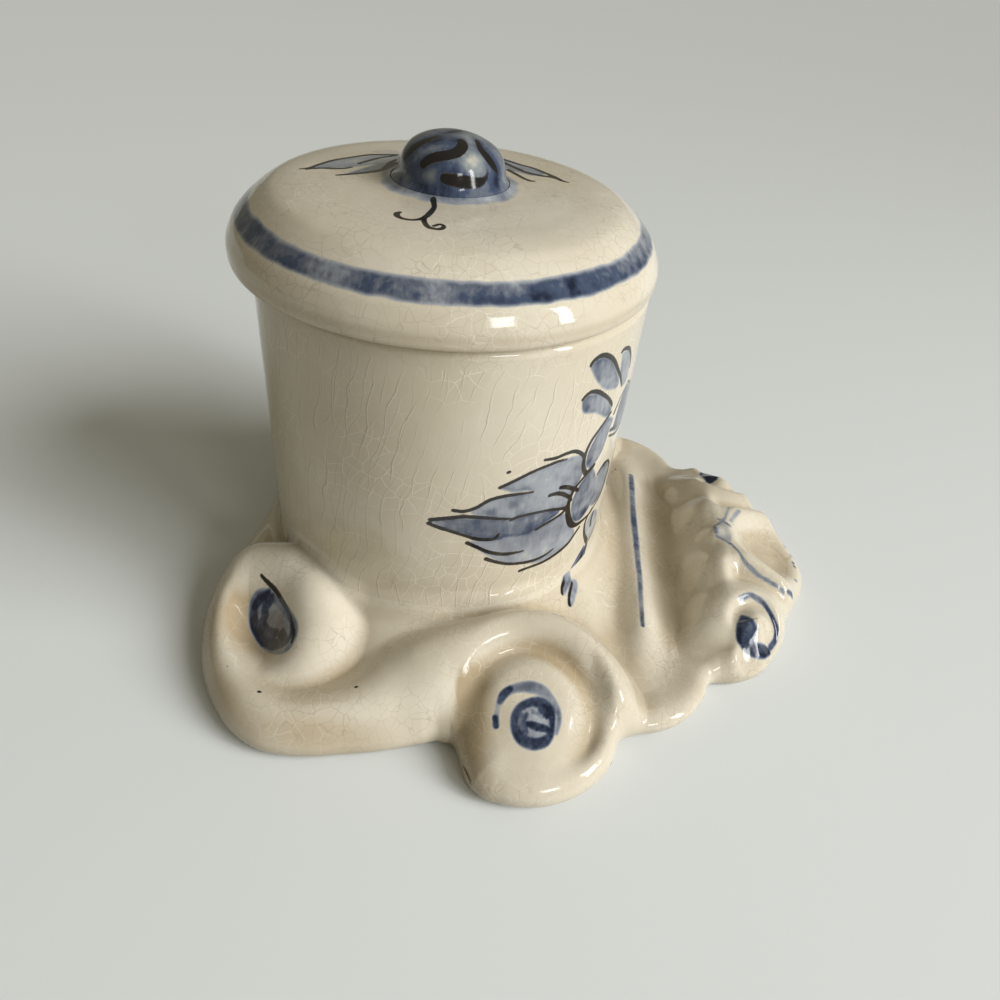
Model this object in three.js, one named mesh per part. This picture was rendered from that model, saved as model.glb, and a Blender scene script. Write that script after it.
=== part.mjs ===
// Glazed lidded jar on a scroll base with a tray and a shell lip, and its loose lid.
// Millimetres, +Z up. The jar's axis is the Z axis, the table is z = 0, the shell lip points to +X
// and the part mirrors across the XZ plane. Shares are lengths divided by bodyRadius.
import * as THREE from 'three';

// Jar
const bodyRadius = 50;          // outside of the straight body
const bodyWall = 4.6;
const floorTop = 7;             // inside floor above the table
const mouthHeight = 98;         // top of the mouth rim
const insideFillet = 8;
const footDrop = 3.6;           // height at which the base is widest
const footTuck = 2.2;           // how far the foot is drawn in under the widest line
const underRecess = 1.2;        // shallow hollow of the underside, inside the foot ring
const footRing = 6;             // width of the resting band next to the outline
const hubRadius = 14;           // flat resting pad at the axis

// Lid
const lidGap = 0.4;             // air between the mouth rim and the lid's seat
const lidOverhang = 2.9;        // widest line of the lid outside the body
const lidShift = -2.3;          // the loose lid rests off centre, as in the photograph
const lidDome = 17.5;           // seat to the top surface beside the knob
const lidWall = 4.2;
const flangeFit = 3.2;          // play of the locating flange in the mouth
const flangeDepth = 5.5;
const flangeWall = 4;
const knobRadius = 14.4;
const knobHeight = 11.4;

// Facets
const aroundBase = 192;
const aroundPlain = aroundBase / 3;    // jar inside and rim
const aroundLid = 56;
const ringsBase = 19;
const edgeSteps = 160;          // straight steps of the outline in the distance to it

// ---- relief of the base, in shares of bodyRadius; near half only (y < 0), from -X round to +X
const outlineShares = [
  [-1.14, 0], [-1.16, -0.24], [-1.195, -0.48], [-1.226, -0.76], [-1.212, -0.96], [-1.166, -1.14],
  [-1.072, -1.356], [-0.952, -1.524], [-0.83, -1.64], [-0.682, -1.714], [-0.458, -1.726],
  [-0.268, -1.69], [-0.078, -1.646], [0.112, -1.584], [0.224, -1.558], [0.308, -1.62], [0.36, -1.744],
  [0.426, -1.814], [0.534, -1.85], [0.678, -1.854], [0.82, -1.816], [0.966, -1.724], [1.072, -1.596],
  [1.146, -1.42], [1.236, -1.375], [1.362, -1.338], [1.5, -1.252], [1.606, -1.118], [1.71, -0.966],
  [1.83, -0.948], [1.952, -0.894], [2.064, -0.772], [2.162, -0.612], [2.2, -0.482], [2.28, -0.34],
  [2.378, -0.16], [2.416, 0]];
// rolls: x, y, crest height, crest radius along each path
const rollShares = [
  [[0.82, -1.08, 0.42, 0.12], [0.66, -1.05, 0.46, 0.13], [0.47, -1.1, 0.426, 0.14],
    [0.24, -1.24, 0.326, 0.14], [0.02, -1.404, 0.246, 0.14], [-0.24, -1.52, 0.216, 0.15],
    [-0.55, -1.566, 0.206, 0.15], [-0.806, -1.496, 0.212, 0.15], [-0.98, -1.33, 0.23, 0.13],
    [-1.07, -1.11, 0.26, 0.11], [-1.08, -0.91, 0.32, 0.11], [-0.95, -0.74, 0.42, 0.13],
    [-0.76, -0.76, 0.464, 0.16]],
  [[-0.94, -0.74, 0.42, 0.13], [-0.73, -0.79, 0.468, 0.15], [-0.57, -0.92, 0.476, 0.15],
    [-0.49, -1.1, 0.426, 0.14], [-0.52, -1.29, 0.306, 0.12], [-0.66, -1.36, 0.19, 0.09]]];
// scrolls: a face leaning down along "lean", with a boss, an arc of groove and a raised rim.
// Angles in degrees from uphill, growing clockwise when the near half is seen from above.
const scrolls = [
  { eye: [0.645, -1.44], lean: [0.13, -0.9915], slope: 0.48, level: 0.275, reach: 0.42, edge: 0.11, soft: 0.5,
    boss: [0.02, 0.3], groove: [0.35, 0.085, 0.105], grooveArc: [-75, -15, 105, 165],
    rim: [0.43, 0.04, 0.09], rimArc: [-110, -60, 110, 180] },
  { eye: [1.935, -0.67], lean: [0.33, -0.944], slope: 0.46, level: 0.245, reach: 0.19, edge: 0.1, soft: 0.2,
    boss: [0.05, 0.08], groove: [0.13, 0.02, 0.05], grooveArc: [-100, -50, 150, 200],
    rim: [0.185, 0.012, 0.04], rimArc: [-100, -60, 150, 200] }];
// x, y, half length, half width, turn in degrees, rise: funnel of the back volute, spur at the
// shell's hinge, swelling and dip beside it, and the foot of the body between the volutes
const swellShares = [
  [-0.82, -1.07, 0.2, 0.15, -55, -0.09],
  [0.645, -1.5, 0.16, 0.15, 0, 0.06],
  [1.75, 0, 0.05, 0.06, 0, 0.05],
  [1.72, -0.26, 0.1, 0.12, 0, 0.05],
  [-0.05, -1.15, 0.35, 0.14, 0, 0.03]];
const skirtShares = { level: 0.19, rise: 0.23, back: 0.45, run: 0.36, blend: 0.1 };
const trayShares = { floor: 0.105, rise: 0.32, from: 0.86, full: 1.2, ridgeAt: 1.285, ridgeWide: 0.105,
  ridgeRise: 0.09, ridgeEnd: [0.55, 1.15], slopeFrom: 1.43, slopeTo: 1.83, slopeRise: 0.27,
  slopeEnd: [0.3, 1.1], wallFrom: 0.28, wallTo: 0.08 };
const rimKeys = [[0.8, 0.15], [1.3, 0.15], [1.52, 0.15], [1.62, 0.165], [1.7, 0.2], [1.8, 0.26]];
const shellShares = { from: 1.75, full: 1.88, top: 0.375, fall: 0.2, bend: 0.42, mid: 2.12, long: 0.28, wide: 0.2,
  flare: 0.4, depth: 0.08, drop: 0.08, edge: 0.03, edgeWide: 0.07, end: [0.6, 0.98] };
const edgeKeys = [[1, 0.18], [1.2, 0.12], [1.4, 0.085], [1.72, 0.1], [1.95, 0.16], [2.2, 0.12], [2.42, 0.09]];

const smooth = (x, a, b) => {
  const t = Math.min(Math.max((x - a) / (b - a), 0), 1);
  return t * t * (3 - 2 * t);
};
const bell = (x, w) => Math.exp(-((x / w) ** 2));
// larger of two heights, with the meeting line rounded over "blend"
const softMax = (a, b, blend) => {
  const h = Math.min(Math.max(0.5 + 0.5 * (a - b) / blend, 0), 1);
  return b + (a - b) * h + blend * h * (1 - h);
};

// Smooth curve through [position, value] keys, with slopes from the neighbouring keys.
function keyed(keys, x) {
  const n = keys.length;
  const at = Math.min(Math.max(x, keys[0][0]), keys[n - 1][0]);
  let i = 0;
  while (i < n - 2 && at >= keys[i + 1][0]) i += 1;
  const slope = (k) => {
    const a = keys[Math.max(k - 1, 0)];
    const b = keys[k];
    const c = keys[Math.min(k + 1, n - 1)];
    if (a === b || b === c) return (c[1] - a[1]) / (c[0] - a[0]);
    const left = (b[1] - a[1]) / (b[0] - a[0]);
    const right = (c[1] - b[1]) / (c[0] - b[0]);
    const [dl, dr] = [b[0] - a[0], c[0] - b[0]];
    return (dr * left + dl * right) / (dl + dr);
  };
  const step = keys[i + 1][0] - keys[i][0];
  const t = (at - keys[i][0]) / step;
  return (2 * t ** 3 - 3 * t ** 2 + 1) * keys[i][1] + (t ** 3 - 2 * t ** 2 + t) * step * slope(i)
    + (3 * t ** 2 - 2 * t ** 3) * keys[i + 1][1] + (t ** 3 - t ** 2) * step * slope(i + 1);
}

// The outline as radius over polar angle, with mirrored keys beyond both ends.
const polarKeys = outlineShares.map(([x, y]) => [Math.atan2(Math.abs(y), x), Math.hypot(x, y)])
  .sort((a, b) => a[0] - b[0]);
const outlineKeys = [
  ...polarKeys.slice(1, 3).map(([a, r]) => [-a, r]).reverse(), ...polarKeys,
  ...polarKeys.slice(-3, -1).map(([a, r]) => [2 * Math.PI - a, r]).reverse()];
const outline = (angle) => keyed(outlineKeys, Math.abs(angle));

// Distance to the outline: the shortest one to any of its short straight steps.
const edgeLine = Array.from({ length: edgeSteps + 1 }, (_, i) => {
  const angle = Math.PI * i / edgeSteps;
  return [outline(angle) * Math.cos(angle), -outline(angle) * Math.sin(angle)];
});
function inset(x, y) {
  let best = outline(Math.atan2(y, x)) - Math.hypot(x, y);
  for (let i = 0; i < edgeSteps; i += 1) {
    const [x0, y0] = edgeLine[i];
    const [dx, dy] = [edgeLine[i + 1][0] - x0, edgeLine[i + 1][1] - y0];
    const t = Math.min(Math.max(((x - x0) * dx + (y - y0) * dy) / (dx * dx + dy * dy), 0), 1);
    best = Math.min(best, Math.hypot(x - x0 - t * dx, y - y0 - t * dy));
  }
  return best;
}

// Smooth path through the nodes of a roll.
function path(nodes, steps) {
  const at = (i) => nodes[Math.min(Math.max(i, 0), nodes.length - 1)];
  const out = [];
  for (let i = 0; i < nodes.length - 1; i += 1) {
    for (let j = 0; j < steps; j += 1) {
      const t = j / steps;
      out.push(nodes[i].map((_, k) => {
        const [a, b, c, d] = [at(i - 1)[k], at(i)[k], at(i + 1)[k], at(i + 2)[k]];
        return 0.5 * (2 * b + (c - a) * t + (2 * a - 5 * b + 4 * c - d) * t * t
          + (3 * b - a - 3 * c + d) * t ** 3);
      }));
    }
  }
  return [...out, nodes[nodes.length - 1]];
}
const rollPaths = rollShares.map((nodes) => path(nodes, 5));

// Roll: crest height less the squared distance over twice the crest radius.
function rollHeight(x, y, nodes) {
  let best = -9;
  for (let i = 0; i < nodes.length - 1; i += 1) {
    const [x0, y0, z0, a0] = nodes[i];
    const [dx, dy, dz, da] = nodes[i + 1].map((v, k) => v - nodes[i][k]);
    const t = Math.min(Math.max(((x - x0) * dx + (y - y0) * dy) / (dx * dx + dy * dy), 0), 1);
    const gap = Math.hypot(x - x0 - t * dx, y - y0 - t * dy);
    best = Math.max(best, z0 + t * dz - gap * gap / (2 * (a0 + t * da)));
  }
  return best;
}

// 1 between the second and third angle, fading out to the first and the fourth.
function arc(phi, [a, b, c, d]) {
  const mid = (a + d) / 2;
  const p = ((phi * 180 / Math.PI - mid + 540) % 360) - 180 + mid;
  return smooth(p, a, b) * (1 - smooth(p, c, d));
}

// Scroll face, rounded off beyond its reach and joined softly to what is there.
function scrollHeight(x, y, low, face) {
  const [ex, ey] = face.lean;
  const down = (x - face.eye[0]) * ex + (y - face.eye[1]) * ey;
  const across = (y - face.eye[1]) * ex - (x - face.eye[0]) * ey;
  const along = down * Math.hypot(1, face.slope);
  const rho = Math.hypot(along, across);
  const phi = Math.atan2(across, -along);
  const relief = face.boss[0] * bell(rho, face.boss[1])
    - face.groove[1] * bell(rho - face.groove[0], face.groove[2]) * arc(phi, face.grooveArc)
    + face.rim[1] * bell(rho - face.rim[0], face.rim[2]) * arc(phi, face.rimArc);
  const side = 1 - arc(phi, face.rimArc);
  const past = Math.max(rho - face.reach * (1 - 0.3 * side), 0);
  const high = face.level - face.slope * down + relief
    - past * past / (2 * (face.edge + face.soft * side));
  const inner = (1 - smooth(rho, 0.75 * face.reach, face.reach)) * (1 - side)
    * smooth(Math.hypot(x, y), 0.98, 1.12);
  const both = softMax(low, high, 0.08);
  return both + (high - both) * inner;
}

// Tray: floor, cross ridge, slope up to the shell and the raised rim along the outline.
function trayHeight(x, y, away, near) {
  const t = trayShares;
  const ridge = t.ridgeRise * bell(x - t.ridgeAt, t.ridgeWide)
    * (1 - smooth(-y, t.ridgeEnd[0], t.ridgeEnd[1]));
  const slope = t.slopeRise * smooth(x, t.slopeFrom, t.slopeTo)
    * (1 - smooth(-y, t.slopeEnd[0], t.slopeEnd[1]));
  const rim = (keyed(rimKeys, x) - t.floor) * (1 - smooth(away, t.wallTo, t.wallFrom))
    * (1 - smooth(x, 1.76, 1.94));
  return t.floor + t.rise * near + ridge + softMax(slope, rim, 0.08) - 0.02;
}

// Shell lip: high at the hinge, falling outward, hollow between its raised edges.
function shellHeight(x, y, low) {
  const s = shellShares;
  const out = Math.max(x - s.from - 0.1, 0);
  const flare = s.wide + s.flare * Math.max(x - s.full, 0);
  const slab = s.top - s.fall * out - s.bend * out * out
    - s.drop * smooth(-y - flare, 0.02, 0.15);
  const hollow = s.depth * (1 - smooth(Math.hypot((x - s.mid) / s.long, y / flare), 0.25, 1));
  const edge = s.edge * bell(-y - flare, s.edgeWide) * smooth(x, s.full - 0.06, s.full + 0.06)
    * (1 - smooth(x, 2.2, 2.4));
  return low + (slab + edge - low - hollow) * smooth(x, s.from, s.full)
    * (1 - smooth(-y, s.end[0], s.end[1]));
}

// Height of the base above the table at a point beside the body.
function relief(x, yAt) {
  const y = -Math.abs(yAt);
  const away = inset(x, y);
  const round = Math.min((Math.hypot(x, y) - 1) / skirtShares.run, 1);
  const near = 1 - Math.sqrt(Math.max(1 - (1 - Math.max(round, 0)) ** 2, 0));
  let high = skirtShares.level
    + skirtShares.rise * near * (1 - skirtShares.back * smooth(-x, 0.5, 1.1));
  for (const nodes of rollPaths) high = softMax(high, rollHeight(x, y, nodes), skirtShares.blend);
  const inTray = smooth(x, trayShares.from, trayShares.full)
    * smooth(x + 0.25 * (y + 1.2), 0.98, 1.2);
  high += (trayHeight(x, y, away, near) - high) * inTray;
  high = shellHeight(x, y, high);
  for (const [cx, cy, long, wide, turn, rise] of swellShares) {
    const [c, s] = [Math.cos(turn * Math.PI / 180), Math.sin(turn * Math.PI / 180)];
    const u = ((x - cx) * c + (y - cy) * s) / long;
    const v = ((y - cy) * c - (x - cx) * s) / wide;
    high += rise * Math.exp(-u * u - v * v);
  }
  for (const face of scrolls) high = scrollHeight(x, y, high, face);
  const base = footDrop / bodyRadius;
  const q = Math.min(Math.max(1 - away / edgeWidth(x), 0), 1);
  return base + (Math.max(high, base + 0.04) - base) * Math.sqrt(1 - q * q);
}
const edgeWidth = (x) => keyed(edgeKeys, Math.max(x, 1));

// Closed surface from rings of points. The first and last ring are single points on the axis, and a
// ring may have a whole fraction of its neighbour's points.
function ringSolid(name, rings) {
  const points = [];
  const starts = rings.map((ring) => {
    const start = points.length / 3;
    for (const p of ring) points.push(...p);
    return start;
  });
  const faces = [];
  for (let i = 0; i < rings.length - 1; i += 1) {
    const [a, b] = [rings[i].length, rings[i + 1].length];
    const n = Math.max(a, b);
    const onA = (j) => starts[i] + Math.floor(j * a / n) % a;
    const onB = (j) => starts[i + 1] + Math.floor(j * b / n) % b;
    for (let j = 0; j < n; j += 1) {
      if (onA(j) !== onA(j + 1)) faces.push(onA(j), onA(j + 1), onB(j + 1));
      if (onB(j) !== onB(j + 1)) faces.push(onA(j), onB(j + 1), onB(j));
    }
  }
  const shape = new THREE.BufferGeometry();
  shape.setAttribute('position', new THREE.Float32BufferAttribute(points, 3));
  shape.setIndex(faces);
  const mesh = new THREE.Mesh(shape);
  mesh.name = name;
  return mesh;
}

// Polar angles, closer together towards the shell lip where the base reaches farthest.
const baseAngles = Array.from({ length: aroundBase }, (_, i) => {
  const t = 2 * i / aroundBase - 1;
  return Math.PI * t - 0.3 * Math.sin(Math.PI * t);
});
const plainAngles = baseAngles.filter((_, i) => i % (aroundBase / aroundPlain) === 0);
const lidAngles = Array.from({ length: aroundLid }, (_, i) => 2 * Math.PI * i / aroundLid);
const circle = (radius, z, angles, dx = 0) => angles.map(
  (a) => [dx + radius * Math.cos(a), radius * Math.sin(a), z]);

// Point of the base's top surface at a polar angle, given the radius there.
function onRelief(angle, radius) {
  const [x, y] = [radius * Math.cos(angle), radius * Math.sin(angle)];
  return [bodyRadius * x, bodyRadius * y, bodyRadius * relief(x, y)];
}
const roundOff = (angle) => {
  const reach = outline(angle);
  return Math.min(edgeWidth(reach * Math.cos(angle)), 0.6 * (reach - 1));
};

// Jar: inside floor, inner wall, rounded mouth, body, relief of the base, foot and underside.
function jar() {
  const inside = bodyRadius - bodyWall;
  const half = bodyWall / 2;
  const plain = (radius, z) => circle(radius, z, plainAngles);
  const quarter = [0, 0.25, 0.5, 0.75, 1].map((share) => share * Math.PI / 2);
  const top = (skirtShares.level + skirtShares.rise) * bodyRadius;
  const low = (z, tuck) => baseAngles.map((a) => {
    const r = bodyRadius * outline(a) - tuck;
    return [r * Math.cos(a), r * Math.sin(a), z];
  });
  const between = Array.from({ length: ringsBase }, (_, i) => (i / (ringsBase - 1)) ** 1.15);
  const rings = [
    [[0, 0, floorTop]], plain(inside / 2, floorTop),
    ...quarter.filter((_, i) => i % 2 === 0).map((t) => plain(
      inside - insideFillet * (1 - Math.sin(t)), floorTop + insideFillet * (1 - Math.cos(t)))),
    ...quarter.map((t) => plain(bodyRadius - half - half * Math.cos(2 * t),
      mouthHeight - half + half * Math.sin(2 * t))),
    circle(bodyRadius, top + 0.2 * (mouthHeight - top), baseAngles),
    ...between.map((share) => baseAngles.map(
      (a) => onRelief(a, 1 + share * (outline(a) - roundOff(a) - 1)))),
    ...[18, 36, 54, 72, 90].map((turn) => baseAngles.map(
      (a) => onRelief(a, outline(a) - roundOff(a) * (1 - Math.sin(turn * Math.PI / 180))))),
    low(0.4 * footDrop, 0.3 * footTuck), low(0, footTuck),
    low(0, footTuck + footRing).filter((_, i) => i % (aroundBase / aroundPlain) === 0),
    low(underRecess, footTuck + footRing + underRecess)
      .filter((_, i) => i % (aroundBase / aroundPlain) === 0),
    plain(hubRadius + underRecess, underRecess), plain(hubRadius, 0), [[0, 0, 0]]];
  return ringSolid('jar', rings.reverse());
}

// Lid section: seat, rolled shoulder, low dome, bud knob; then the hollow underside and the flange.
function lid() {
  const seat = mouthHeight + lidGap;
  const wide = bodyRadius + lidOverhang;
  const top = seat + lidDome;
  const flange = bodyRadius - bodyWall - flangeFit;
  const outer = [
    [wide - 0.45 * lidOverhang, 0], [wide - 0.14 * lidOverhang, 0.03], [wide, 0.13],
    [wide - 0.03 * lidOverhang, 0.235], [wide - 0.28 * lidOverhang, 0.366],
    [wide - 0.97 * lidOverhang, 0.549], [wide - 2.03 * lidOverhang, 0.72],
    [wide - 2.97 * lidOverhang, 0.846], [wide - 4.03 * lidOverhang, 0.937],
    [wide - 5.83 * lidOverhang, 0.989], [bodyRadius * 0.51, 1], [knobRadius * 1.12, 1]]
    .map(([r, share]) => [r, seat + share * lidDome]);
  const knob = [[1.0, 0.08], [0.97, 0.24], [0.93, 0.42], [0.82, 0.65], [0.6, 0.86], [0.32, 0.97]]
    .map(([r, share]) => [r * knobRadius, top + share * knobHeight]);
  const under = [
    [flange - flangeWall - lidWall, seat + lidDome - 1.3 * lidWall],
    [flange - flangeWall, seat + lidDome - 2.2 * lidWall],
    [flange - flangeWall, seat - flangeDepth * 0.8], [flange - flangeWall * 0.7, seat - flangeDepth],
    [flange - flangeWall * 0.3, seat - flangeDepth], [flange, seat - flangeDepth * 0.8], [flange, seat]];
  const section = [...knob.reverse(), ...outer.reverse()];
  const rings = [[[lidShift, 0, top + knobHeight]],
    ...section.map(([r, z]) => circle(r, z, lidAngles, lidShift)),
    ...under.reverse().map(([r, z]) => circle(r, z, lidAngles, lidShift)),
    [[lidShift, 0, seat + lidDome - lidWall]]];
  return ringSolid('lid', rings.reverse());
}

const group = new THREE.Group();
group.name = 'lidded_jar';
group.add(jar(), lid());

export default group;
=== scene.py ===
import math

import bpy
import numpy as np
from mathutils import Matrix, Vector


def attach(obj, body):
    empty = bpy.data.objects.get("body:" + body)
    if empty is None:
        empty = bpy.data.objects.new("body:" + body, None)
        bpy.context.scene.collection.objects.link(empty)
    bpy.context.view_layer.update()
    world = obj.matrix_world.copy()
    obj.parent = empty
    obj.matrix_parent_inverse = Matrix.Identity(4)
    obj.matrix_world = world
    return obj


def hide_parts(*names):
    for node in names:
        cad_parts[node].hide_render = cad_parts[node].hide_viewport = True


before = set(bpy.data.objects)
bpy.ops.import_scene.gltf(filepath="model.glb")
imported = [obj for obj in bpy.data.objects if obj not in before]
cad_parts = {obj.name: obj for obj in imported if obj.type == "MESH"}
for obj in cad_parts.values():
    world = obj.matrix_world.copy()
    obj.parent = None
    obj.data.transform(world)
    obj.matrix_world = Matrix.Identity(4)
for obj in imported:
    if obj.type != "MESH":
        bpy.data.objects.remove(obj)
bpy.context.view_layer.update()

mm = 0.001


# Cubic ease from 0 at a to 1 at b, flat outside.
def smooth(x, a, b):
    t = np.clip((x - a) / (b - a), 0, 1)
    return t * t * (3 - 2 * t)


# Gauss bell of half width w.
def bell(x, w):
    return np.exp(-(x / w) ** 2)


# Larger of two heights, with the corner between them rounded over the blend height.
def softMax(a, b, blend):
    h = np.clip(0.5 + 0.5 * (a - b) / blend, 0, 1)
    return b + (a - b) * h + blend * h * (1 - h)


# Smooth value over keys (position, value): cubic pieces whose slopes are the mean of their neighbours.
def keyed(keys, x):
    k = np.array(keys, float)
    at = np.clip(x, k[0, 0], k[-1, 0])
    i = np.clip(np.searchsorted(k[:, 0], at, side="right") - 1, 0, len(k) - 2)
    m = np.gradient(k[:, 1], k[:, 0])
    step = k[i + 1, 0] - k[i, 0]
    t = (at - k[i, 0]) / step
    return ((2 * t**3 - 3 * t**2 + 1) * k[i, 1] + (t**3 - 2 * t**2 + t) * step * m[i]
            + (3 * t**2 - 2 * t**3) * k[i + 1, 1] + (t**3 - t**2) * step * m[i + 1])


# Smooth path through nodes: Catmull-Rom pieces, each cut into equal steps of its parameter.
def path(nodes, steps):
    p = np.array(nodes, float)
    p = np.vstack([p[0], p, p[-1]])
    t = (np.arange(steps) / steps)[:, None]
    out = [0.5 * (2 * b + (c - a) * t + (2 * a - 5 * b + 4 * c - d) * t * t
                  + (3 * b - a - 3 * c + d) * t**3)
           for a, b, c, d in zip(p[:-3], p[1:-2], p[2:-1], p[3:])]
    return np.vstack(out + [p[-1:]])


# Slow waviness of a hand made surface: sum of sines with fixed directions, between about -1 and 1.
def waviness(x, y, z, scale, seed):
    rng = np.random.default_rng(seed)
    out = 0
    for i in range(7):
        k = rng.normal(size=3)
        k *= (0.6 + 0.2 * i) * 2 * math.pi / (scale * np.linalg.norm(k))
        out = out + np.sin(k[0] * x + k[1] * y + k[2] * z + rng.uniform(0, 6.28)) / 4
    return out


# Length along a path of points, 0 at its first point.
def lengthAlong(p):
    return np.concatenate([[0], np.cumsum(np.linalg.norm(np.diff(p, axis=0), axis=1))])


# Bell over an oval: its centre, half lengths along and across, and turn in degrees.
def ovalBell(x, y, cx, cy, long, wide, turn):
    c, s = math.cos(math.radians(turn)), math.sin(math.radians(turn))
    u = ((x - cx) * c + (y - cy) * s) / long
    v = ((y - cy) * c - (x - cx) * s) / wide
    return np.exp(-u * u - v * v)


# Points at a radius and an angle round Z, at a height.
def polarPoints(radius, angle, height):
    x, y, z = np.broadcast_arrays(radius * np.cos(angle), radius * np.sin(angle), height)
    return np.stack([x, y, z], -1)


# Lathe: a section (radius, height) turned once round an upright axis at x = shift.
def lathe(section, count, shift):
    a = np.linspace(-math.pi, math.pi, count + 1)[:, None]
    return polarPoints(section[None, :, 0], a, section[None, :, 1]) + [shift, 0, 0]


# Unit normals of a grid that closes on itself: cross product of the steps along its directions.
def gridNormals(points):
    closed = np.concatenate([points[-2:-1], points, points[1:2]])
    n = np.cross(np.gradient(closed, axis=0)[1:-1], np.gradient(points, axis=1))
    return n / np.maximum(np.linalg.norm(n, axis=2, keepdims=True), 1e-12)


# New object in the scene, from its data.
def placed(name, data):
    obj = bpy.data.objects.new(name, data)
    bpy.context.scene.collection.objects.link(obj)
    return obj


# Mesh of a grid (columns, rows, 3) in millimetres, with normals and point attributes carried
# over. Points that coincide are welded, so seams and poles are closed.
def gridPiece(name, grid, normals, attributes, body, material):
    count = grid.shape[0] * grid.shape[1]
    index = np.arange(count).reshape(grid.shape[:2])
    quads = np.stack([index[:-1, :-1], index[1:, :-1], index[1:, 1:], index[:-1, 1:]], -1)
    weld = np.round(grid.reshape(-1, 3) * 2000).astype(np.int64)  # steps of 0.0005 mm
    _, first, back = np.unique(weld, axis=0, return_index=True, return_inverse=True)
    points, quads = grid.reshape(-1, 3)[first], back.reshape(-1)[quads.reshape(-1, 4)]
    area = 0.5 * np.linalg.norm(np.cross(points[quads[:, 2]] - points[quads[:, 0]],
                                         points[quads[:, 3]] - points[quads[:, 1]]), axis=1)
    quads = quads[area > 1e-7]
    same = np.stack([quads[:, i] == quads[:, (i + 1) % 4] for i in range(4)], 1)
    faces = [q.tolist() for q in quads[~same.any(1)]]
    for q, s in zip(quads[same.any(1)], same[same.any(1)]):
        face = [int(v) for v, drop in zip(q, s) if not drop]
        if len(set(face)) > 2:
            faces.append(face)
    mesh = bpy.data.meshes.new(name)
    mesh.from_pydata(points * mm, [], faces)
    for key, values in attributes.items():
        kind, field = ("FLOAT_VECTOR", "vector") if values.ndim > 2 else ("FLOAT", "value")
        values = values.reshape(count, -1)[first].astype(np.float32)
        mesh.attributes.new(key, kind, "POINT").data.foreach_set(field, values.ravel())
    mesh.update()
    mesh.shade_smooth()
    mesh.normals_split_custom_set_from_vertices(normals.reshape(-1, 3)[first])
    mesh.materials.append(material)
    obj = placed(name, mesh)
    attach(obj, body)
    print(name, len(mesh.polygons), "faces")


farGap = 2.5  # mm, the distance given where no stroke is near


# Point attributes of a surface that bears no paint.
def unpainted(grid, poolAndPaintedLight):
    none = np.zeros(grid.shape[:2])
    return dict(poolAndPaintedLight=poolAndPaintedLight + none, wash=none, inkGap=none + farGap)


# Indices of the points inside the box round some nodes, grown by a margin.
def insideBox(u, v, nodes, margin):
    lo, hi = nodes.min(0) - margin, nodes.max(0) + margin
    return np.where((u > lo[0]) & (u < hi[0]) & (v > lo[1]) & (v < hi[1]))[0]


# Distance from points to a straight step, and the share of the step where it is nearest.
def stepGap(a, b, u0, v0, du, dv):
    t = np.clip(((a - u0) * du + (b - v0) * dv) / (du * du + dv * dv + 1e-12), 0, 1)
    return np.hypot(a - u0 - t * du, b - v0 - t * dv), t


# Signed distance to the nearest brush stroke: distance to its path less its half width there.
# Strokes are lists of (u, v, half width); only points within reach of a stroke are worked on.
def strokeGap(u, v, strokes, reach=farGap):
    shape = u.shape
    u, v = u.ravel(), v.ravel()
    best = np.full(u.shape, reach)
    for nodes in strokes:
        p = path(nodes, 6)
        near = insideBox(u, v, p[:, :2], reach + p[:, 2].max())
        gap = best[near]
        for (u0, v0, w0), (du, dv, dw) in zip(p[:-1], np.diff(p, axis=0)):
            far, t = stepGap(u[near], v[near], u0, v0, du, dv)
            gap = np.minimum(gap, far - w0 - t * dw)
        best[near] = gap
    return best.reshape(shape)


# Signed distance to the closed outline of a leaf or wash area (negative inside), by crossing number.
def areaGap(u, v, nodes):
    shape = u.shape
    u, v = u.ravel(), v.ravel()
    loop = path(list(nodes) + [nodes[0]], 6)
    best = np.full(u.shape, farGap)
    near = insideBox(u, v, loop, farGap)
    a, b = u[near], v[near]
    gap = best[near]
    inside = np.zeros(a.shape, bool)
    for (u0, v0), (du, dv) in zip(loop[:-1], np.diff(loop, axis=0)):
        gap = np.minimum(gap, stepGap(a, b, u0, v0, du, dv)[0])
        cross = (v0 > b) != (v0 + dv > b)
        inside ^= cross & (a < u0 + du * (b - v0) / (dv if dv else 1e-12))
    best[near] = np.where(inside, -gap, gap)
    return best.reshape(shape)


# Wash left by soft edged strokes: its density, full within each stroke and fading over its edge.
def washLines(u, v, lines):
    wash = np.zeros(u.shape)
    for density, nodes in lines:
        half = max(node[2] for node in nodes)
        gap = strokeGap(u, v, [nodes], reach=1.5)
        wash = np.maximum(wash, density * (1 - smooth(gap, -0.3 * half, 0.4)))
    return wash


# Wash inside closed outlines: its density, with a darker line just inside where it dried.
def washAreas(u, v, areas, rim=0.22, soft=0.4):
    wash = np.zeros(u.shape)
    for density, nodes in areas:
        gap = areaGap(u, v, nodes) - 0.5
        dried = 1 + rim * bell(gap + 0.6, 0.5)
        wash = np.maximum(wash, density * dried * (1 - smooth(gap, -soft, soft)))
    return wash


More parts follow.
